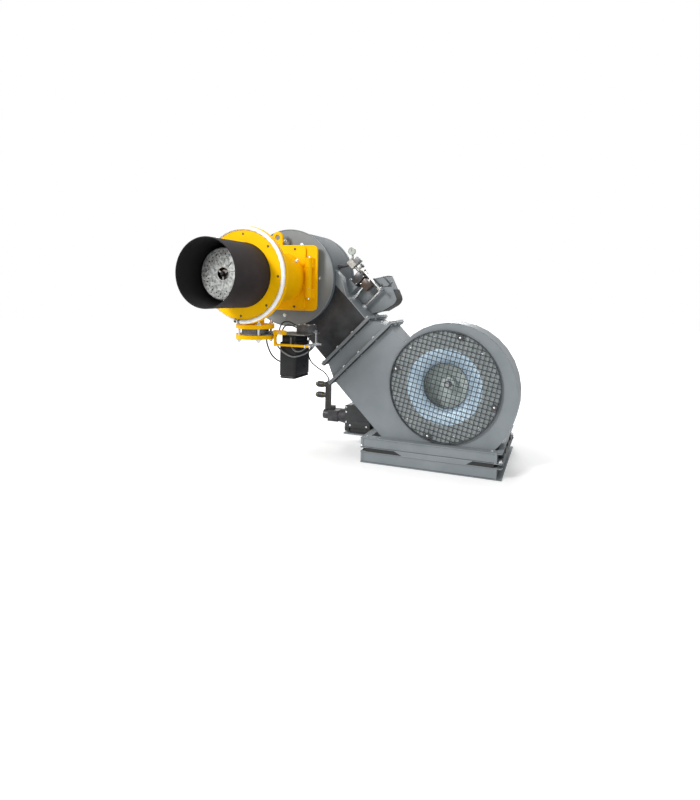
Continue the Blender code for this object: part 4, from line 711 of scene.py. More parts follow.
# The hinge plate and its two knuckles stay on the drum. A chromed pin with a head runs through them and
# through the casting's knuckle.
dress("hinge_plate", yellow, 0.0016)
chrome = finish("chrome", (0.80, 0.81, 0.83), (0.66, 0.67, 0.69), 0.02, 0.12, 1.0, relief=0.02, drift=0.05)
dress("hinge_pin", chrome, 0.0008)

# The air drum's neck is a dark steel ring between the hinge plate and the drum. The drum is a rolled shell
# with two beads between turned end plates, in grey paint, the shell's paint a darker copy that stands as
# painted shade on its side; hexagon bolts hold the plates.
dark_paint = finish("dark_paint", (0.050, 0.054, 0.058), (0.032, 0.034, 0.037), 0.05, 0.42, relief=0.12)
grey_paint = finish("grey_paint", (0.238, 0.262, 0.276), (0.202, 0.226, 0.242), 0.22, 0.46, grain=0.0012,
                    relief=0.05, edge_wear_and_highlight=(0.42, 0.45, 0.46), shine=0.28)
# Painted shade: the drum shell's grey is a darker copy of the grey paint, for the shade on the drum's side.
shaded_shell_paint = finish("shaded_shell_paint", (0.140, 0.158, 0.170), (0.118, 0.134, 0.146), 0.20, 0.50, grain=0.0012,
                     relief=0.05, edge_wear_and_highlight=(0.40, 0.43, 0.44), shine=0.06)


def in_duct(u, y, n):
    """A place in the slanted duct's directions: u across it and n along it, towards the drum's axis."""
    return at((u - n) * math.sqrt(0.5), y, (u + n) * math.sqrt(0.5))


across_duct, along_duct = Vector((1, 0, 1)).normalized(), Vector((-1, 0, 1)).normalized()


def slab(shape, low, high, where=at, edge=0.0, layer=0):
    """Adds a block with softly rounded edges; where is at or in_duct."""
    low, high = Vector(low), Vector(high)
    stretch = Matrix.Translation((low + high) / 2) @ Matrix.Diagonal((*(high - low), 1))
    made = bmesh.new()
    bmesh.ops.create_cube(made, size=1, matrix=stretch)
    if edge:
        bmesh.ops.bevel(made, geom=made.edges[:], offset=edge, segments=2, affect="EDGES", profile=0.5)
    for corner in made.verts:
        corner.co = where(*corner.co)
    for face in made.faces:
        face.material_index = layer
    mesh = bpy.data.meshes.new("block")
    made.to_mesh(mesh)
    made.free()
    shape.from_mesh(mesh)
    bpy.data.meshes.remove(mesh)


neck_low, neck_high = inside("neck_ring")
air_bore, neck_radius = 0.133, 0.149
neck = bmesh.new()
spin(neck, [(neck_radius, neck_high.y), (neck_radius, neck_low.y), (air_bore, neck_low.y),
            (air_bore, neck_high.y)], at(0, 0, 0))
piece("neck_collar", neck, dark_paint, "frame", ["neck_ring"])
plate_low, plate_high = inside("drum_front_plate")
drum_radius, shell_wall, bead_depth, bead_half_width, bead_inset = 0.272, 0.004, 0.0025, 0.006, 0.030
plate_radius = drum_radius + 0.006
front_plate = bmesh.new()
spin(front_plate, [(plate_radius, plate_high.y), (plate_radius, plate_low.y + 0.0012),
                   (plate_radius - 0.0012, plate_low.y), (plate_radius - 0.004, plate_low.y),
                   (plate_radius - 0.0065, plate_low.y + 0.0028), (air_bore, plate_low.y + 0.003),
                   (air_bore, plate_high.y)], at(0, 0, 0), sides=192)
piece("drum_front", front_plate, grey_paint, "frame", ["drum_front_plate"], smooth=28)
shell_low, shell_high = inside("drum_shell")
shell = bmesh.new()
shell_profile = [(drum_radius, shell_high.y)]
for y in (shell_high.y - bead_inset, shell_low.y + bead_inset):
    shell_profile += [(drum_radius, y + bead_half_width), (drum_radius - bead_depth, y + bead_half_width / 2),
                      (drum_radius - bead_depth, y - bead_half_width / 2), (drum_radius, y - bead_half_width)]
shell_profile += [(drum_radius, shell_low.y), (drum_radius - shell_wall, shell_low.y),
                  (drum_radius - shell_wall, shell_high.y)]
spin(shell, shell_profile, at(0, 0, 0), sides=192)
drum_body = piece("drum_rolled_shell", shell, shaded_shell_paint, "frame", ["drum_shell"], smooth=28)
duct_half, duct_front, duct_back, sheet_wall = 0.171, 0.492, 0.735, 0.004
duct_mouth = bmesh.new()
slab(duct_mouth, (-duct_half + sheet_wall, duct_front + sheet_wall, -0.4),
     (duct_half - sheet_wall, duct_back - sheet_wall, -0.1), in_duct)
cut_out(drum_body, duct_mouth)
drum_body.data.set_sharp_from_angle(angle=math.radians(30))
cover_low, cover_high = inside("drum_rear_cover")
cover_back, cover_edge, sight_radius = 0.760, 0.003, 0.026
sight_bore = sight_radius - 0.008
rear_cover = bmesh.new()
spin(rear_cover, [(drum_radius, cover_low.y), (drum_radius, cover_back - cover_edge),
                  (drum_radius - cover_edge, cover_back), (sight_radius, cover_back),
                  (sight_radius, cover_high.y - 0.001), (sight_radius - 0.001, cover_high.y),
                  (sight_bore, cover_high.y), (sight_bore, cover_low.y)], at(0, 0, 0), sides=192)
piece("drum_rear", rear_cover, grey_paint, "frame", ["drum_rear_cover"], smooth=28)
sight = bmesh.new()
spin(sight, [(0, 0), (sight_bore - 0.0002, 0), (sight_bore - 0.0002, 0.003), (0, 0.003)],
     at(0, cover_high.y - 0.008, 0), closed=False)
glass = finish("sight_glass", (0.10, 0.13, 0.15), (0.06, 0.08, 0.10), 0.02, 0.08, relief=0.0, drift=0.02)
piece("sight_glass", sight, glass, "frame")
drum_bolts = bmesh.new()
for x, z in ((-0.0296, 0.2144), (0.0787, 0.1891), (0.1896, 0.0007), (-0.0259, -0.2142), (-0.150, 0.196),
             (-0.218, 0.006), (-0.150, -0.196)):
    hex_bolt(drum_bolts, at(x, plate_low.y + 0.003, z), (0, -1, 0), 0.012)
cover_bolt_count, cover_bolt_circle = 8, 0.254
for k in range(cover_bolt_count):
    angle = 2 * math.pi * (k + 0.5) / cover_bolt_count
    spot = at(cover_bolt_circle * math.cos(angle), cover_back, cover_bolt_circle * math.sin(angle))
    hex_bolt(drum_bolts, spot, (0, 1, 0), 0.013)
piece("drum_bolts", drum_bolts, zinc, "frame")

# The duct is folded sheet with grey paint: a box section with a dark cover on its front, its dark paint also
# a painted shadow of the head, a tapering piece below it and lips all round that are bolted together, heads
# below and nuts above. Black strips under the lips are painted shadow lines.
dress("air_duct", grey_paint, 0.0012)
dress("transition_duct", grey_paint, 0.0012)
# Painted shadow: the duct cover's dark paint also stands for the shadow the head casts on the duct's front.
panel_shadow_paint = finish("panel_shadow_paint", (0.066, 0.071, 0.078), (0.028, 0.030, 0.033), 0.12, 0.36, relief=0.06,
                     shine=0.3)
upper_joint, lower_joint = 0.493, 0.599
panel_half, panel_foot, panel_arc = 0.1695, -upper_joint + 0.010, 0.2740
panel_arc_half, arc_steps = math.radians(38), 24
panel_outline = [(panel_half, panel_foot)]
for k in range(arc_steps + 1):
    angle = panel_arc_half * (1 - 2 * k / arc_steps)
    panel_outline.append((panel_arc * math.sin(angle), -panel_arc * math.cos(angle)))
panel_outline.append((-panel_half, panel_foot))
panel = bmesh.new()
front_points = [panel.verts.new(in_duct(u, duct_front - 0.0032, n)) for u, n in panel_outline]
back_points = [panel.verts.new(in_duct(u, duct_front - 0.0002, n)) for u, n in panel_outline]
panel.faces.new(front_points)
panel.faces.new(back_points)
for k in range(len(panel_outline)):
    after = (k + 1) % len(panel_outline)
    panel.faces.new((front_points[k], front_points[after], back_points[after], back_points[k]))
piece("duct_cover_shadow", panel, panel_shadow_paint, "frame")
lip_bolts, lip_pair_half, front_lip_y = bmesh.new(), 0.0083, 0.478


def lip_bolt(u, y, n):
    """A bolt through the pair of lips at a joint, head below and nut above."""
    hex_bolt(lip_bolts, in_duct(u, y, n - lip_pair_half), -along_duct, 0.013, washer=False)
    hex_bolt(lip_bolts, in_duct(u, y, n + lip_pair_half), along_duct, 0.013)


for joint, left, right, back, count in ((upper_joint, -0.1856, 0.1856, 0.749, 4),
                                        (lower_joint, -0.2290, 0.2580, 0.684, 5)):
    for k in range(count):
        u = left + (right - left) * k / (count - 1)
        lip_bolt(u, front_lip_y, -joint)
        lip_bolt(u, back, -joint)
    for share in (0.35, 0.68):
        y = front_lip_y + (back - front_lip_y) * share
        lip_bolt(left, y, -joint)
        lip_bolt(right, y, -joint)
piece("duct_lip_bolts", lip_bolts, zinc, "frame")
# Painted shadow: black strips under the lips stand for the shadow lines below them.
lip_shadow_black = finish("lip_shadow_black", (0.018, 0.018, 0.019), (0.010, 0.010, 0.010), 0.02, 0.6, relief=0.2)
lip_shadow_strips, lip_shadow_front = bmesh.new(), 0.4660
for joint, left, right in ((upper_joint, -0.1965, 0.1965), (lower_joint, -0.2400, 0.2700)):
    slab(lip_shadow_strips, (left, lip_shadow_front, -joint - 0.0130), (right, duct_front - 0.0004, -joint - 0.0084), in_duct,
         0.0008)
piece("duct_lip_shadows", lip_shadow_strips, lip_shadow_black, "frame")

# The fan's scroll is welded sheet: a spiral band between two flat sides, with a standing seam where they
# meet. It opens into the tapering duct.
dress("fan_scroll", grey_paint, 0.0010)
fan_u, fan_n, spiral_start, spiral_end, scroll_back = 0.250, -1.048, 0.322, 0.465, 0.670
spiral_steps, seam_inset, seam_half = 120, 0.0032, 0.0016
spiral = []
for k in range(spiral_steps + 1):
    radius = spiral_start * (spiral_end / spiral_start) ** (k / spiral_steps) - seam_inset
    angle = math.radians(90) - math.radians(270) * k / spiral_steps
    spiral.append((fan_u + radius * math.cos(angle), fan_n + radius * math.sin(angle)))
spiral.append((fan_u - spiral_end + seam_inset, -lower_joint - 0.012))
seam_section = [(seam_half, 0), (seam_half * 0.7, seam_half), (-seam_half * 0.7, seam_half), (-seam_half, 0),
                (-seam_half * 0.7, -seam_half), (seam_half * 0.7, -seam_half)]
scroll_seams = bmesh.new()
for y in (duct_front + seam_half, scroll_back - seam_half):
    rings = []
    for k, (u, n) in enumerate(spiral):
        before, after = spiral[max(k - 1, 0)], spiral[min(k + 1, len(spiral) - 1)]
        along = Vector((after[0] - before[0], after[1] - before[1])).normalized()
        out = Vector((-along.y, along.x))
        rings.append([scroll_seams.verts.new(in_duct(u + out.x * a, y + b, n + out.y * a))
                      for a, b in seam_section])
    for one, other in zip(rings, rings[1:]):
        for j in range(6):
            scroll_seams.faces.new((one[j], one[(j + 1) % 6], other[(j + 1) % 6], other[j]))
    scroll_seams.faces.new(rings[0])
    scroll_seams.faces.new(rings[-1])
piece("scroll_seams", scroll_seams, grey_paint, "frame", smooth=60)

# The fan draws its air through a spun aluminium bell in a painted ring, bolted to the scroll's side; the
# bell's blue tint is a painted reflection.
fan_place = in_duct(fan_u, 0, fan_n)
# Painted reflection: the spun bell's base colour is tinted blue for the bluish light it reflects.
spun_blue_reflection = finish("spun_aluminium_blue_reflection", (0.56, 0.70, 0.80), (0.42, 0.56, 0.68), 0.06, 0.50, 0.30, relief=0.05)
ring_paint = finish("ring_paint", (0.290, 0.322, 0.325), (0.232, 0.262, 0.266), 0.12, 0.46, relief=0.06)
ring_face, ring_back, ring_outer, bell_outer, bell_wall, bell_steps = 0.4877, 0.4915, 0.298, 0.205, 0.002, 12
throat_radius, throat_y, cone_end, cone_radius = 0.123, 0.531, 0.554, 0.132
bell_curve = []
for k in range(bell_steps + 1):
    angle = math.radians(90) * k / bell_steps
    bell_curve.append((bell_outer - (bell_outer - throat_radius) * math.sin(angle),
                       ring_face + (throat_y - ring_face) * (1 - math.cos(angle))))
bell_behind = [(cone_radius, cone_end), (cone_radius + bell_wall, cone_end)]
bell_behind += [(radius + bell_wall, y + bell_wall) for radius, y in bell_curve[:0:-1]]
bell_behind += [(bell_outer + 0.030, ring_back), (ring_outer, ring_back)]
bell = bmesh.new()
spin(bell, [(ring_outer, ring_back), (ring_outer, ring_face + 0.001), (ring_outer - 0.001, ring_face),
            (bell_outer, ring_face)], fan_place, closed=False, sides=144)
spin(bell, bell_curve + [(cone_radius, cone_end)], fan_place, closed=False, sides=144, layer=1)
spin(bell, bell_behind, fan_place, closed=False, sides=144, layer=1)
bmesh.ops.remove_doubles(bell, verts=bell.verts, dist=0.00001)
piece("inlet_bell", bell, [ring_paint, spun_blue_reflection], "frame", ["inlet_cone"], smooth=30)
seal_outer, seal_inner = throat_radius + 0.003, throat_radius - 0.002
seal_start, seal_end = throat_y - 0.005, throat_y + 0.002
throat = bmesh.new()
spin(throat, [(seal_outer, seal_end), (seal_outer, seal_start), (seal_inner, seal_start),
              (seal_inner, seal_end)], fan_place, sides=96)
piece("throat_seal", throat, dark_paint, "frame")
bell_bolts, bell_bolt_count, bell_bolt_circle = bmesh.new(), 12, 0.272
for k in range(bell_bolt_count):
    angle = math.radians(13.4) + 2 * math.pi * k / bell_bolt_count
    spot = fan_place + Vector((bell_bolt_circle * math.cos(angle), ring_face,
                               bell_bolt_circle * math.sin(angle)))
    hex_bolt(bell_bolts, spot, (0, -1, 0), 0.009, washer=False)
piece("bell_bolts", bell_bolts, zinc, "frame")

# A guard of crimped steel wire, woven and welded into a flat rim, covers the bell. Four bolts on wide
# washers hold it.
wire_steel = finish("wire_steel", (0.085, 0.092, 0.10), (0.05, 0.055, 0.06), 0.02, 0.42, 0.4, relief=0.1,
                    shine=0.3)
guard_outer, guard_inner, guard_front, guard_back = 0.3045, 0.2985, 0.476, 0.4874
guard = bmesh.new()
spin(guard, [(guard_outer, guard_back), (guard_outer, guard_front + 0.001),
             (guard_outer - 0.001, guard_front), (guard_inner + 0.001, guard_front),
             (guard_inner, guard_front + 0.001), (guard_inner, guard_back)], fan_place, sides=144)
pitch, wire_radius, wire_y, weave, wire_sides, rows_each_side = 0.0245, 0.0019, 0.4808, 0.0017, 6, 12
mesh_radius = guard_inner + 0.003
tilt = Matrix.Rotation(math.radians(12), 3, "Y")
for direction in (0, 1):
    for row in range(-rows_each_side, rows_each_side + 1):
        offset = row * pitch
        reach = math.sqrt(mesh_radius ** 2 - offset ** 2)
        steps = max(4, round(8 * reach / pitch))
        rings = []
        for k in range(steps + 1):
            along = -reach + 2 * reach * k / steps
            crimp = weave * math.cos(math.pi * along / pitch) * (1 if (row + direction) % 2 else -1)
            flat = (along, offset) if direction == 0 else (offset, along)
            spot = fan_place + tilt @ Vector((flat[0], 0, flat[1])) + Vector((0, wire_y + crimp, 0))
            side = tilt @ (Vector((0, 0, 1)) if direction == 0 else Vector((1, 0, 0)))
            ring = []
            for j in range(wire_sides):
                angle = 2 * math.pi * j / wire_sides
                spoke = side * math.cos(angle) + Vector((0, 1, 0)) * math.sin(angle)
                ring.append(guard.verts.new(spot + spoke * wire_radius))
            rings.append(ring)
        for one, other in zip(rings, rings[1:]):
            for j in range(wire_sides):
                guard.faces.new((one[j], one[(j + 1) % wire_sides], other[(j + 1) % wire_sides], other[j]))
        guard.faces.new(rings[0])
        guard.faces.new(rings[-1])
piece("woven_guard", guard, wire_steel, "frame", ["mesh_guard"], smooth=50)
guard_washers, guard_bolts, guard_bolt_circle = bmesh.new(), bmesh.new(), 0.280
for angle in (math.radians(a) for a in (163, 73, -17, -107)):
    spot = fan_place + Vector((guard_bolt_circle * math.cos(angle), guard_front,
                               guard_bolt_circle * math.sin(angle)))
    spin(guard_washers, [(0, 0.0014), (0.0158, 0.0014), (0.0165, 0.0008), (0.0165, -0.0010), (0, -0.0010)],
         spot, (0, -1, 0), sides=32, closed=False)
    hex_bolt(guard_bolts, spot + Vector((0, -0.0012, 0)), (0, -1, 0), 0.010, washer=False)
piece("guard_washers", guard_washers, dark_paint, "frame")
piece("guard_bolts", guard_bolts, zinc, "frame")

# The impeller has curved blades between a back plate and a shroud, welded and balanced. A nut holds it on
# the motor's shaft.
impeller_steel = finish("impeller_steel", (0.72, 0.79, 0.77), (0.52, 0.60, 0.58), 0.05, 0.42, 0.2,
                        relief=0.15)
dress("impeller", impeller_steel, 0.0005)
dress("motor_shaft", machined)
dress("hub_nut", cast_iron, 0.0006)

# The fan motor is a finned casting with a pressed cowl over its own small fan, a terminal box on top and a
# folded stand below.
motor_paint = finish("motor_paint", (0.125, 0.137, 0.148), (0.088, 0.097, 0.105), 0.06, 0.44, grain=0.002,
                     relief=0.2, edge_wear_and_highlight=(0.22, 0.23, 0.24))
dress("fan_motor", motor_paint, 0.0010)
cowl_low, cowl_high = inside("motor_cowl")
cowl_radius, cowl_wall, cowl_corner, intake_radius = 0.126, 0.004, 0.014, 0.050
corner_reach, corner_y = cowl_radius - cowl_corner, cowl_high.y - cowl_corner
cowl_profile = [(intake_radius, cowl_high.y), (corner_reach, cowl_high.y)]
for k in range(1, 6):
    angle = math.radians(90) * k / 5
    reach, y = corner_reach + cowl_corner * math.sin(angle), corner_y + cowl_corner * math.cos(angle)
    cowl_profile.append((reach, y))
cowl_profile += [(cowl_radius, cowl_low.y), (cowl_radius - cowl_wall, cowl_low.y),
                 (cowl_radius - cowl_wall, corner_y), (cowl_radius - 0.016, cowl_high.y - cowl_wall),
                 (intake_radius, cowl_high.y - cowl_wall)]
cowl = bmesh.new()
spin(cowl, cowl_profile, fan_place, sides=96)
piece("pressed_cowl", cowl, motor_paint, "frame", ["motor_cowl"], smooth=32)
grille_out, grille_in, hoop_half = cowl_high.y - 0.0006, cowl_high.y - 0.0032, 0.0014
grille = bmesh.new()
for radius in (0.014, 0.023, 0.032, 0.041, intake_radius):
    spin(grille, [(radius + hoop_half, grille_out), (radius + hoop_half, grille_in),
                  (radius - hoop_half, grille_in), (radius - hoop_half, grille_out)], fan_place, sides=64)
for k in range(4):
    angle = math.pi * (k + 0.5) / 2
    arm = Vector((math.cos(angle), 0, math.sin(angle)))
    spin(grille, [(0, intake_radius + 0.002), (0.0017, intake_radius + 0.002), (0.0017, 0), (0, 0)],
         fan_place + Vector((0, cowl_high.y - 0.002, 0)), arm, sides=8, closed=False)
piece("cowl_grille", grille, wire_steel, "frame")
motor_bolts, flange_bolt_circle, flange_back = bmesh.new(), 0.142, 0.6925
for k in range(4):
    angle = math.pi * (k + 0.5) / 2
    outward = Vector((math.cos(angle), 0, math.sin(angle)))
    hex_bolt(motor_bolts, fan_place + outward * flange_bolt_circle + Vector((0, flange_back, 0)), (0, 1, 0),
             0.015)
    cowl_spot = fan_place + outward * cowl_radius + Vector((0, cowl_low.y + 0.008, 0))
    socket_screw(motor_bolts, cowl_spot, outward, 0.0045, 0.002)
stand_low, stand_high = inside("motor_stand")
for x in (stand_low.x + 0.028, stand_high.x - 0.028):
    for y in (stand_low.y + 0.025, stand_high.y - 0.025):
        hex_bolt(motor_bolts, at(x, y, stand_low.z + 0.008), (0, 0, 1), 0.013)
piece("motor_bolts", motor_bolts, zinc, "frame")
terminal_low, terminal_high = inside("terminal_box")
terminal_lid, lid_gap = 0.0128, 0.0012
lid_foot = terminal_high.z - terminal_lid
terminal = bmesh.new()
rounded_column(terminal, terminal_low, (terminal_high.x, terminal_high.y, lid_foot - lid_gap), 0.012, 0.002)
rounded_column(terminal, (terminal_low.x, terminal_low.y, lid_foot), terminal_high, 0.012, 0.004)
piece("terminal_housing", terminal, motor_paint, "frame", ["terminal_box"])
terminal_screws = bmesh.new()
corner_screws(terminal_screws, terminal_low, terminal_high, 0.010, terminal_high.z - 0.0002, (0, 0, 1),
              0.0035, 0.0008)
piece("terminal_screws", terminal_screws, zinc, "frame")
gland_spot = at(terminal_high.x, (terminal_low.y + terminal_high.y) / 2, terminal_low.z + 0.024)
terminal_gland = bmesh.new()
gland(terminal_gland, gland_spot, (1, 0, 0), 0.022, 0.020)
piece("terminal_gland", terminal_gland, moulded, "frame")
dress("motor_stand", grey_paint, 0.0012)

# The skid is two welded rectangles of steel channel in grey paint, one on the other, with four bolted rubber
# mounts between them. Black fillers in the gap between the frames stand for its shade, dark strips along the
# lips, by the left end and on the right side's web are painted shade, and rubber buffers sit in the right
# side.
dress("base_lower_frame", grey_paint, 0.0022)
dress("base_upper_frame", grey_paint, 0.0022)
mount_rubber = finish("mount_rubber", (0.020, 0.020, 0.021), (0.011, 0.011, 0.011), 0.01, 0.62, relief=0.25)
skid_bolts = bmesh.new()
for side in ("left", "right"):
    for end in ("front", "rear"):
        name = "isolator_" + side + "_" + end
        low, high = inside(name)
        x, y, waist = (low.x + high.x) / 2, (low.y + high.y) / 2, (low.z + high.z) / 2
        radius = (high.x - low.x) / 2
        rubber = bmesh.new()
        spin(rubber, [(0, high.z), (radius, high.z), (radius, high.z - 0.003),
                      (radius - 0.002, high.z - 0.004), (radius - 0.0035, waist),
                      (radius - 0.002, low.z + 0.004), (radius, low.z + 0.003), (radius, low.z), (0, low.z)],
             at(x, y, 0), (0, 0, 1), sides=48, closed=False)
        piece("mount_" + side + "_" + end, rubber, mount_rubber, "frame", [name])
        outward = -1 if side == "left" else 1
        hex_bolt(skid_bolts, at(x - outward * 0.004, y, high.z + 0.0583), (0, 0, 1), 0.012, washer=False)
        if side == "left":
            web_x = x - 0.0225
            hex_bolt(skid_bolts, at(web_x, y, low.z - 0.030), (-1, 0, 0), 0.013)
            hex_bolt(skid_bolts, at(web_x + 0.006, y - 0.0235, high.z + 0.012), (0, -1, 0), 0.010,
                     washer=False)
        else:
            lip_x = x + 0.0360
            hex_bolt(skid_bolts, at(lip_x, y, low.z - 0.0052), (0, 0, -1), 0.018)
            hex_bolt(skid_bolts, at(lip_x, y, high.z + 0.0052), (0, 0, 1), 0.018)
piece("skid_bolts", skid_bolts, zinc, "frame")
lower_low, lower_high = inside("base_lower_frame")
upper_high = inside("base_upper_frame")[1]
front_y, rear_y, left_x, right_x = lower_low.y, lower_high.y, lower_low.x, lower_high.x
frame_gap, lip_reach, web_inset, round_edge = 0.018, 0.028, 0.004, 0.0008
upper_foot = lower_high.z + frame_gap
# Painted shade: the dark strips beside the lips, by the left end and along the right side's web stand for
# shade.
beams, painted_shade_strips = bmesh.new(), bmesh.new()
for low, high in ((lower_low.z, lower_high.z), (upper_foot, upper_high.z)):
    web_foot, web_top = low + web_inset, high - web_inset
    slab(beams, (left_x, front_y - 0.0012, web_foot), (right_x, front_y + 0.001, web_top))
    for foot, top, shade_line in ((low + 0.0003, low + 0.0050, low + 0.0058),
                              (high - 0.0050, high - 0.0003, high - 0.0058)):
        slab(beams, (left_x, front_y - 0.0070, foot), (right_x + lip_reach, front_y - 0.0005, top), at,
             round_edge)
        slab(beams, (right_x - 0.001, front_y - 0.0068, foot), (right_x + lip_reach, rear_y - 0.001, top), at,
             round_edge)
        slab(painted_shade_strips, (left_x + 0.001, front_y - 0.0018, shade_line - 0.0009),
             (right_x - 0.001, front_y - 0.0010, shade_line + 0.0009))
    slab(painted_shade_strips, (right_x - 0.001, front_y + 0.001, web_foot), (right_x + 0.0012, rear_y - 0.001, web_top))
    slab(beams, (right_x - 0.012, front_y - 0.0040, web_foot), (right_x + 0.0020, front_y + 0.001, web_top),
         at, 0.0010)
    slab(painted_shade_strips, (left_x + 0.0140, front_y - 0.0018, low + 0.006),
         (left_x + 0.0155, front_y - 0.0010, high - 0.006))
spacer_top, spacer_foot = upper_foot + 0.0040, lower_high.z - 0.001
spacer = [(0.6600, spacer_top), (0.7080, spacer_foot), (1.0530, spacer_foot), (1.0890, spacer_top)]
plates = [[beams.verts.new(at(x, y, z)) for x, z in spacer] for y in (front_y - 0.0076, front_y + 0.0010)]
beams.faces.new(plates[0])
beams.faces.new(plates[1])
for k in range(4):
    beams.faces.new((plates[0][k], plates[0][(k + 1) % 4], plates[1][(k + 1) % 4], plates[1][k]))
piece("channel_faces", beams, grey_paint, "frame")
piece("channel_painted_shade", painted_shade_strips, dark_paint, "frame")
# Painted shade: black fillers in the gap between the frames stand for the shade there.
gap_shade_fillers = bmesh.new()
for left, right in ((left_x + 0.034, 0.7200), (1.0500, right_x - 0.014)):
    slab(gap_shade_fillers, (left, front_y - 0.0074, lower_high.z - 0.0002),
         (right, front_y + 0.0030, upper_foot + 0.0030))
for y in (front_y + 0.0225, rear_y - 0.0225):
    spin(gap_shade_fillers, [(0, upper_foot), (0.017, upper_foot), (0.015, upper_foot - 0.009), (0.019, lower_high.z),
                   (0, lower_high.z)], at(right_x + 0.013, y, 0), (0, 0, 1), sides=40, closed=False)
piece("frame_gap_shade_fillers", gap_shade_fillers, mount_rubber, "frame")
buffers = bmesh.new()
for y, low, high in ((0.540, -0.918, -0.884), (0.640, -0.921, -0.890), (0.760, -0.915, -0.880),
                     (0.900, -0.921, -0.886)):
    rounded_column(buffers, (right_x + 0.001, y - 0.020, low), (right_x + 0.0265, y + 0.020, high), 0.004,
                   0.002, 3)
piece("side_buffers", buffers, mount_rubber, "frame")

# The air damper is a steel blade on a shaft through the duct. Outside, two levers and a bright link couple
# it to its servo, a moulded box turned with the duct, with a small brown switch box beside it.
dress("damper_blade", machined, 0.0005)
dress("damper_shaft", machined, 0.0010)
dress("air_servo_lever", dark_paint, 0.0010)
dress("air_link", zinc, 0.0012)
lever_u, duct_mid, damper_n, servo_n, servo_low_u, servo_high_u = 0.322, 0.6135, -0.396, -0.258, 0.232, 0.312
servo_half_n, servo_half_y = 0.026, 0.050
servo_top = finish("servo_cover", (0.055, 0.057, 0.060), (0.038, 0.040, 0.043), 0.04, 0.32, relief=0.12)
servo_low_n, servo_high_n = servo_n - servo_half_n, servo_n + servo_half_n
servo_face = duct_mid - servo_half_y
lid_depth, lid_inset = 0.0115, 0.001
air_servo = bmesh.new()
slab(air_servo, (servo_low_u, servo_face + lid_depth + 0.0005, servo_low_n),
     (servo_high_u, duct_mid + servo_half_y, servo_high_n), in_duct, 0.004)
slab(air_servo, (servo_low_u + lid_inset, servo_face, servo_low_n + lid_inset),
     (servo_high_u - lid_inset, servo_face + lid_depth, servo_high_n - lid_inset), in_duct, 0.003, 1)
piece("air_servo_housing", air_servo, [moulded, servo_top], "frame", ["air_servo"])
switch_brown = finish("switch_brown", (0.085, 0.055, 0.040), (0.045, 0.032, 0.026), 0.02, 0.36, relief=0.15)
switch_low_u, switch_high_u, switch_face, switch_length = 0.252, 0.302, duct_mid - 0.040, 0.062
switch_box = bmesh.new()
slab(switch_box, (switch_low_u, switch_face, servo_low_n - switch_length),
     (switch_high_u, duct_mid + 0.012, servo_low_n - 0.0004), in_duct, 0.003)
piece("switch_box", switch_box, switch_brown, "frame")
servo_trim, screw_inset = bmesh.new(), 0.008
for u in (servo_low_u + screw_inset, servo_high_u - screw_inset):
    for n in (servo_low_n + screw_inset, servo_high_n - screw_inset):
        socket_screw(servo_trim, in_duct(u, servo_face - 0.0002, n), (0, -1, 0), 0.003, 0.0008)
for u in (switch_low_u + 0.007, switch_high_u - 0.007):
    socket_screw(servo_trim, in_duct(u, switch_face - 0.0002, servo_low_n - screw_inset), (0, -1, 0), 0.0025,
                 0.0008)
spin(servo_trim, [(0.0073, 0), (0.014, 0), (0.014, 0.0030), (0.0125, 0.0042), (0.0073, 0.0042)],
     in_duct(servo_high_u, duct_mid, servo_n), across_duct, sides=32)
spin(servo_trim, [(0.0093, 0), (0.016, 0), (0.016, 0.010), (0.0145, 0.012), (0.0093, 0.012)],
     in_duct(duct_half, duct_mid, damper_n), across_duct, sides=32)
piece("air_servo_trim", servo_trim, zinc, "frame")
lever_throw = 0.046
clamp_screws = bmesh.new()
socket_screw(clamp_screws, in_duct(lever_u - 0.0002, duct_mid, damper_n), across_duct, 0.0055, 0.0008)
spin(clamp_screws, [(0.0053, 0), (0.009, 0), (0.009, 0.0025), (0.0053, 0.0025)],
     in_duct(lever_u + 0.0075, duct_mid - lever_throw, damper_n), across_duct, sides=24)
piece("damper_lever_screws", clamp_screws, zinc, "air_damper")

# The console is a folded sheet box beside the duct with a sloping lid on two black hinges and a rubber edging
# round its lower end. A light strip along the duct's front edge by the gusset is a painted highlight.
dress("linkage_console", grey_paint, 0.0020)
lid_and_highlight_paint = finish("lid_and_highlight_paint", (0.42, 0.43, 0.45), (0.34, 0.35, 0.37), 0.08, 0.42, relief=0.06)
console_front, console_back = 0.640, 0.730


def strip(shape, points, half, low_y, high_y):
    """A strip along points (u, n) in the duct's directions, this half as thick."""
    rings = []
    for k, (u, n) in enumerate(points):
        before, after = points[max(k - 1, 0)], points[min(k + 1, len(points) - 1)]
        along = Vector((after[0] - before[0], after[1] - before[1])).normalized()
        out = Vector((-along.y, along.x)) * half
        rings.append([shape.verts.new(in_duct(u + out.x * a, y, n + out.y * a))
                      for a, y in ((-1, low_y), (1, low_y), (1, high_y), (-1, high_y))])
    for one, other in zip(rings, rings[1:]):
        for j in range(4):
            shape.faces.new((one[j], one[(j + 1) % 4], other[(j + 1) % 4], other[j]))
    shape.faces.new(rings[0])
    shape.faces.new(rings[-1])


lower_end = [(0.367, -0.440), (0.353, -0.4785), (0.343, -0.4955), (0.323, -0.5045), (0.303, -0.5045),
             (0.236, -0.4875)]
console_trim = bmesh.new()
strip(console_trim, lower_end, 0.0028, console_front - 0.004, console_back + 0.004)
strip(console_trim, [(0.296, -0.352), (0.372, -0.418)], 0.0016, console_front - 0.0015, console_front + 0.001)
piece("console_edging", console_trim, mount_rubber, "frame")
console_lid_and_highlight = bmesh.new()
strip(console_lid_and_highlight, [(0.200, -0.3045), (0.3005, -0.2975), (0.3960, -0.3578)], 0.0012, console_front - 0.003,
      console_back + 0.003)
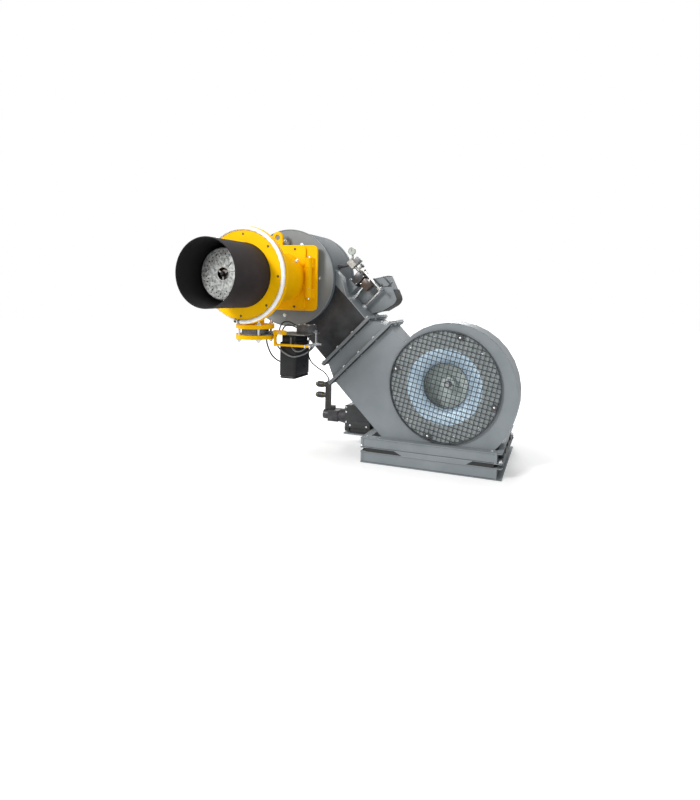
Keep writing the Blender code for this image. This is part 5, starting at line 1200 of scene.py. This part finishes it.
# Painted highlight: a light strip along the duct's front edge by the gusset.
strip(console_lid_and_highlight, [(0.2242, -0.2106), (0.1742, -0.3010), (0.1700, -0.4780)], 0.0012, duct_front - 0.0050,
      duct_front - 0.0005)
piece("console_lid_and_highlight", console_lid_and_highlight, lid_and_highlight_paint, "frame")
hinge_straps = bmesh.new()
for u, n in ((0.322, -0.318), (0.374, -0.352)):
    slab(hinge_straps, (u - 0.004, console_front - 0.005, n - 0.052),
         (u + 0.004, console_front - 0.0015, n + 0.010), in_duct, 0.0008)
    slab(hinge_straps, (u - 0.016, console_front - 0.0065, n - 0.056),
         (u + 0.016, console_front - 0.0012, n - 0.048), in_duct, 0.0008)
piece("console_hinges", hinge_straps, dark_paint, "frame")

# The pilot gas train: a nickel-plated valve with its coil, adjuster and pressure gauge, screwed into the
# drum by a short pipe.
nickel = finish("nickel", (0.40, 0.41, 0.40), (0.24, 0.25, 0.24), 0.01, 0.38, 0.6, relief=0.12)
dress("pilot_valve", nickel, 0.0012)
pilot_u, pilot_y, pilot_n = 0.310, 0.552, -0.182
coil_low, coil_high, coil_half = 0.3283, 0.3620, 0.020
coil_grey = finish("coil_grey", (0.20, 0.205, 0.21), (0.14, 0.145, 0.15), 0.02, 0.4, relief=0.15)
coil = bmesh.new()
slab(coil, (coil_low, pilot_y - coil_half, pilot_n - 0.028),
     (coil_high, pilot_y + coil_half, pilot_n + 0.006), in_duct, 0.003)
piece("coil_housing", coil, coil_grey, "frame", ["pilot_coil"])
drum_spot = Vector((pilot_u, 0, pilot_n)).normalized()
pipe_foot = in_duct(drum_spot.x * drum_radius, pilot_y, drum_spot.z * drum_radius)
pipe_way = across_duct * drum_spot.x + along_duct * drum_spot.z
adjuster_spot = in_duct(pilot_u + 0.030, pilot_y, pilot_n - 0.050)
pilot_fittings = bmesh.new()
spin(pilot_fittings, [(0.0085, 0), (0.0150, 0), (0.0150, 0.010), (0.0135, 0.012), (0.0085, 0.012)], pipe_foot,
     pipe_way, sides=6)
spin(pilot_fittings, [(0, 0.012), (0.011, 0.012), (0.013, 0.010), (0.013, 0), (0, 0)], adjuster_spot,
     across_duct, sides=24, closed=False)
spin(pilot_fittings, [(0.0092, 0.012), (0.0092, 0.075), (0.0086, 0.076), (0.0086, 0.012)], pipe_foot,
     pipe_way, sides=32)
piece("pilot_fittings", pilot_fittings, dark_paint, "frame")
gauge_low, gauge_high = inside("pilot_gauge")
gauge_x, gauge_z, gauge_radius = (gauge_low.x + gauge_high.x) / 2, (gauge_low.z + gauge_high.z) / 2, 0.022
dial_radius, dial_y, gauge_edge, needle_half = gauge_radius - 0.0036, gauge_low.y + 0.002, 0.001, 0.0008
gauge = bmesh.new()
spin(gauge, [(0, gauge_high.y), (gauge_radius - gauge_edge, gauge_high.y),
             (gauge_radius, gauge_high.y - gauge_edge), (gauge_radius, gauge_low.y + gauge_edge),
             (gauge_radius - gauge_edge, gauge_low.y), (gauge_radius - 0.003, gauge_low.y),
             (dial_radius, dial_y)], at(gauge_x, 0, gauge_z), closed=False, sides=48)
spin(gauge, [(dial_radius, dial_y), (0, dial_y)], at(gauge_x, 0, gauge_z), closed=False, sides=48, layer=1)
slab(gauge, (gauge_x - needle_half, gauge_low.y + 0.0008, gauge_z - 0.003),
     (gauge_x + needle_half, gauge_low.y + 0.0016, gauge_z + 0.013), at, 0, 2)
dial = finish("dial_white", (0.44, 0.49, 0.44), (0.36, 0.40, 0.36), 0.02, 0.5, relief=0.02)
piece("gauge_dial", gauge, [nickel, dial, moulded], "frame", ["pilot_gauge"])

# The oil pump set hangs beside the skid on its shelf: a black motor behind a bolted cover plate, a bell
# housing, the gear pump, and a manifold with two dull brass solenoid valves.
pump_y, pump_z, pump_motor_start, pump_motor_end, pump_motor_radius = 0.748, -0.845, 0.262, 0.455, 0.066
pump_black = finish("pump_black", (0.026, 0.027, 0.029), (0.015, 0.016, 0.017), 0.03, 0.38, relief=0.2)
dress("pump_motor", pump_black, 0.0015)
pump_iron = finish("pump_iron", (0.060, 0.058, 0.064), (0.032, 0.031, 0.035), 0.03, 0.42, 0.2, relief=0.3)
dress("pump_bell_housing", pump_iron, 0.0010)
dress("oil_pump", pump_iron, 0.0020)
manifold_iron = finish("manifold_iron", (0.040, 0.038, 0.036), (0.022, 0.021, 0.020), 0.012, 0.42, 0.3,
                       relief=0.3)
dress("oil_manifold", manifold_iron, 0.0010)
brass = finish("dull_brass", (0.13, 0.11, 0.055), (0.07, 0.062, 0.035), 0.01, 0.40, 0.7, relief=0.2)
dress("oil_valve_upper", brass, 0.0010)
dress("oil_valve_lower", brass, 0.0010)
rib_count, rib_pitch, rib_width, first_rib = 9, 0.016, 0.003, pump_motor_start + 0.044
rib_foot, rib_top, end_cap_radius = pump_motor_radius - 0.001, pump_motor_radius + 0.0035, 0.052
pump_axis = at(0, pump_y, pump_z)
pump_ribs = bmesh.new()
for k in range(rib_count):
    x = first_rib + k * rib_pitch
    spin(pump_ribs, [(rib_foot, x), (rib_top, x), (rib_top, x + rib_width), (rib_foot, x + rib_width)],
         pump_axis, (1, 0, 0), sides=64)
spin(pump_ribs, [(0, pump_motor_end + 0.0004), (end_cap_radius, pump_motor_end + 0.0004),
                 (end_cap_radius, pump_motor_end - 0.002), (0, pump_motor_end - 0.002)],
     pump_axis, (1, 0, 0), sides=48, closed=False)
piece("pump_motor_ribs", pump_ribs, pump_black, "frame")
pump_bolts = bmesh.new()
for y in (pump_y - 0.056, pump_y + 0.056):
    for z in (pump_z - 0.056, pump_z + 0.062):
        hex_bolt(pump_bolts, at(pump_motor_start, y, z), (-1, 0, 0), 0.012)
for x in (pump_motor_start + 0.046, pump_motor_end - 0.046):
    hex_bolt(pump_bolts, at(x, pump_y - 0.052, pump_z - 0.040), (0, 0, 1), 0.012)
for y in (pump_y - 0.028, pump_y + 0.028):
    for z in (pump_z - 0.022, pump_z + 0.022):
        socket_screw(pump_bolts, at(0.130, y, z), (-1, 0, 0), 0.0045, 0.004)
piece("pump_bolts", pump_bolts, zinc, "frame")
coil_caps = bmesh.new()
for level in (0.185, 0.118):
    spin(coil_caps, [(0.0193, 0), (0.0200, 0.002), (0.0200, 0.026), (0.0193, 0.028)],
         at(0.047, pump_y, pump_z + level), (1, 0, 0), sides=48)
    hex_bolt(coil_caps, at(0.030, pump_y, pump_z + level), (-1, 0, 0), 0.012, washer=False)
    spin(coil_caps, [(0.012, 0), (0.0168, 0), (0.0168, 0.008), (0.012, 0.008)],
         at(0.0885, pump_y, pump_z + level), (1, 0, 0), sides=6)
piece("oil_valve_caps", coil_caps, pump_black, "frame")
cover_black = finish("cover_black", (0.050, 0.053, 0.055), (0.034, 0.036, 0.038), 0.06, 0.40, relief=0.12)
plate_face, plate_thickness = 0.6720, 0.0035
cover_plate = bmesh.new()
slab(cover_plate, (pump_motor_start + 0.0035, plate_face, pump_z - 0.0500),
     (0.4300, plate_face + plate_thickness, pump_z + 0.0870), at, 0.0012)
slab(cover_plate, (pump_motor_start + 0.0300, plate_face - 0.0020, pump_z - 0.0400),
     (0.4250, plate_face + 0.0002, pump_z - 0.0100), at, 0.0008)
piece("pump_cover_plate", cover_plate, cover_black, "frame")
cover_bolts = bmesh.new()
for x, z in ((0.2740, -0.7700), (0.2740, -0.8000), (0.2740, -0.8620), (0.3000, -0.8800), (0.4060, -0.8800)):
    hex_bolt(cover_bolts, at(x, plate_face, z), (0, -1, 0), 0.011, washer=False)
piece("cover_bolts", cover_bolts, zinc, "frame")
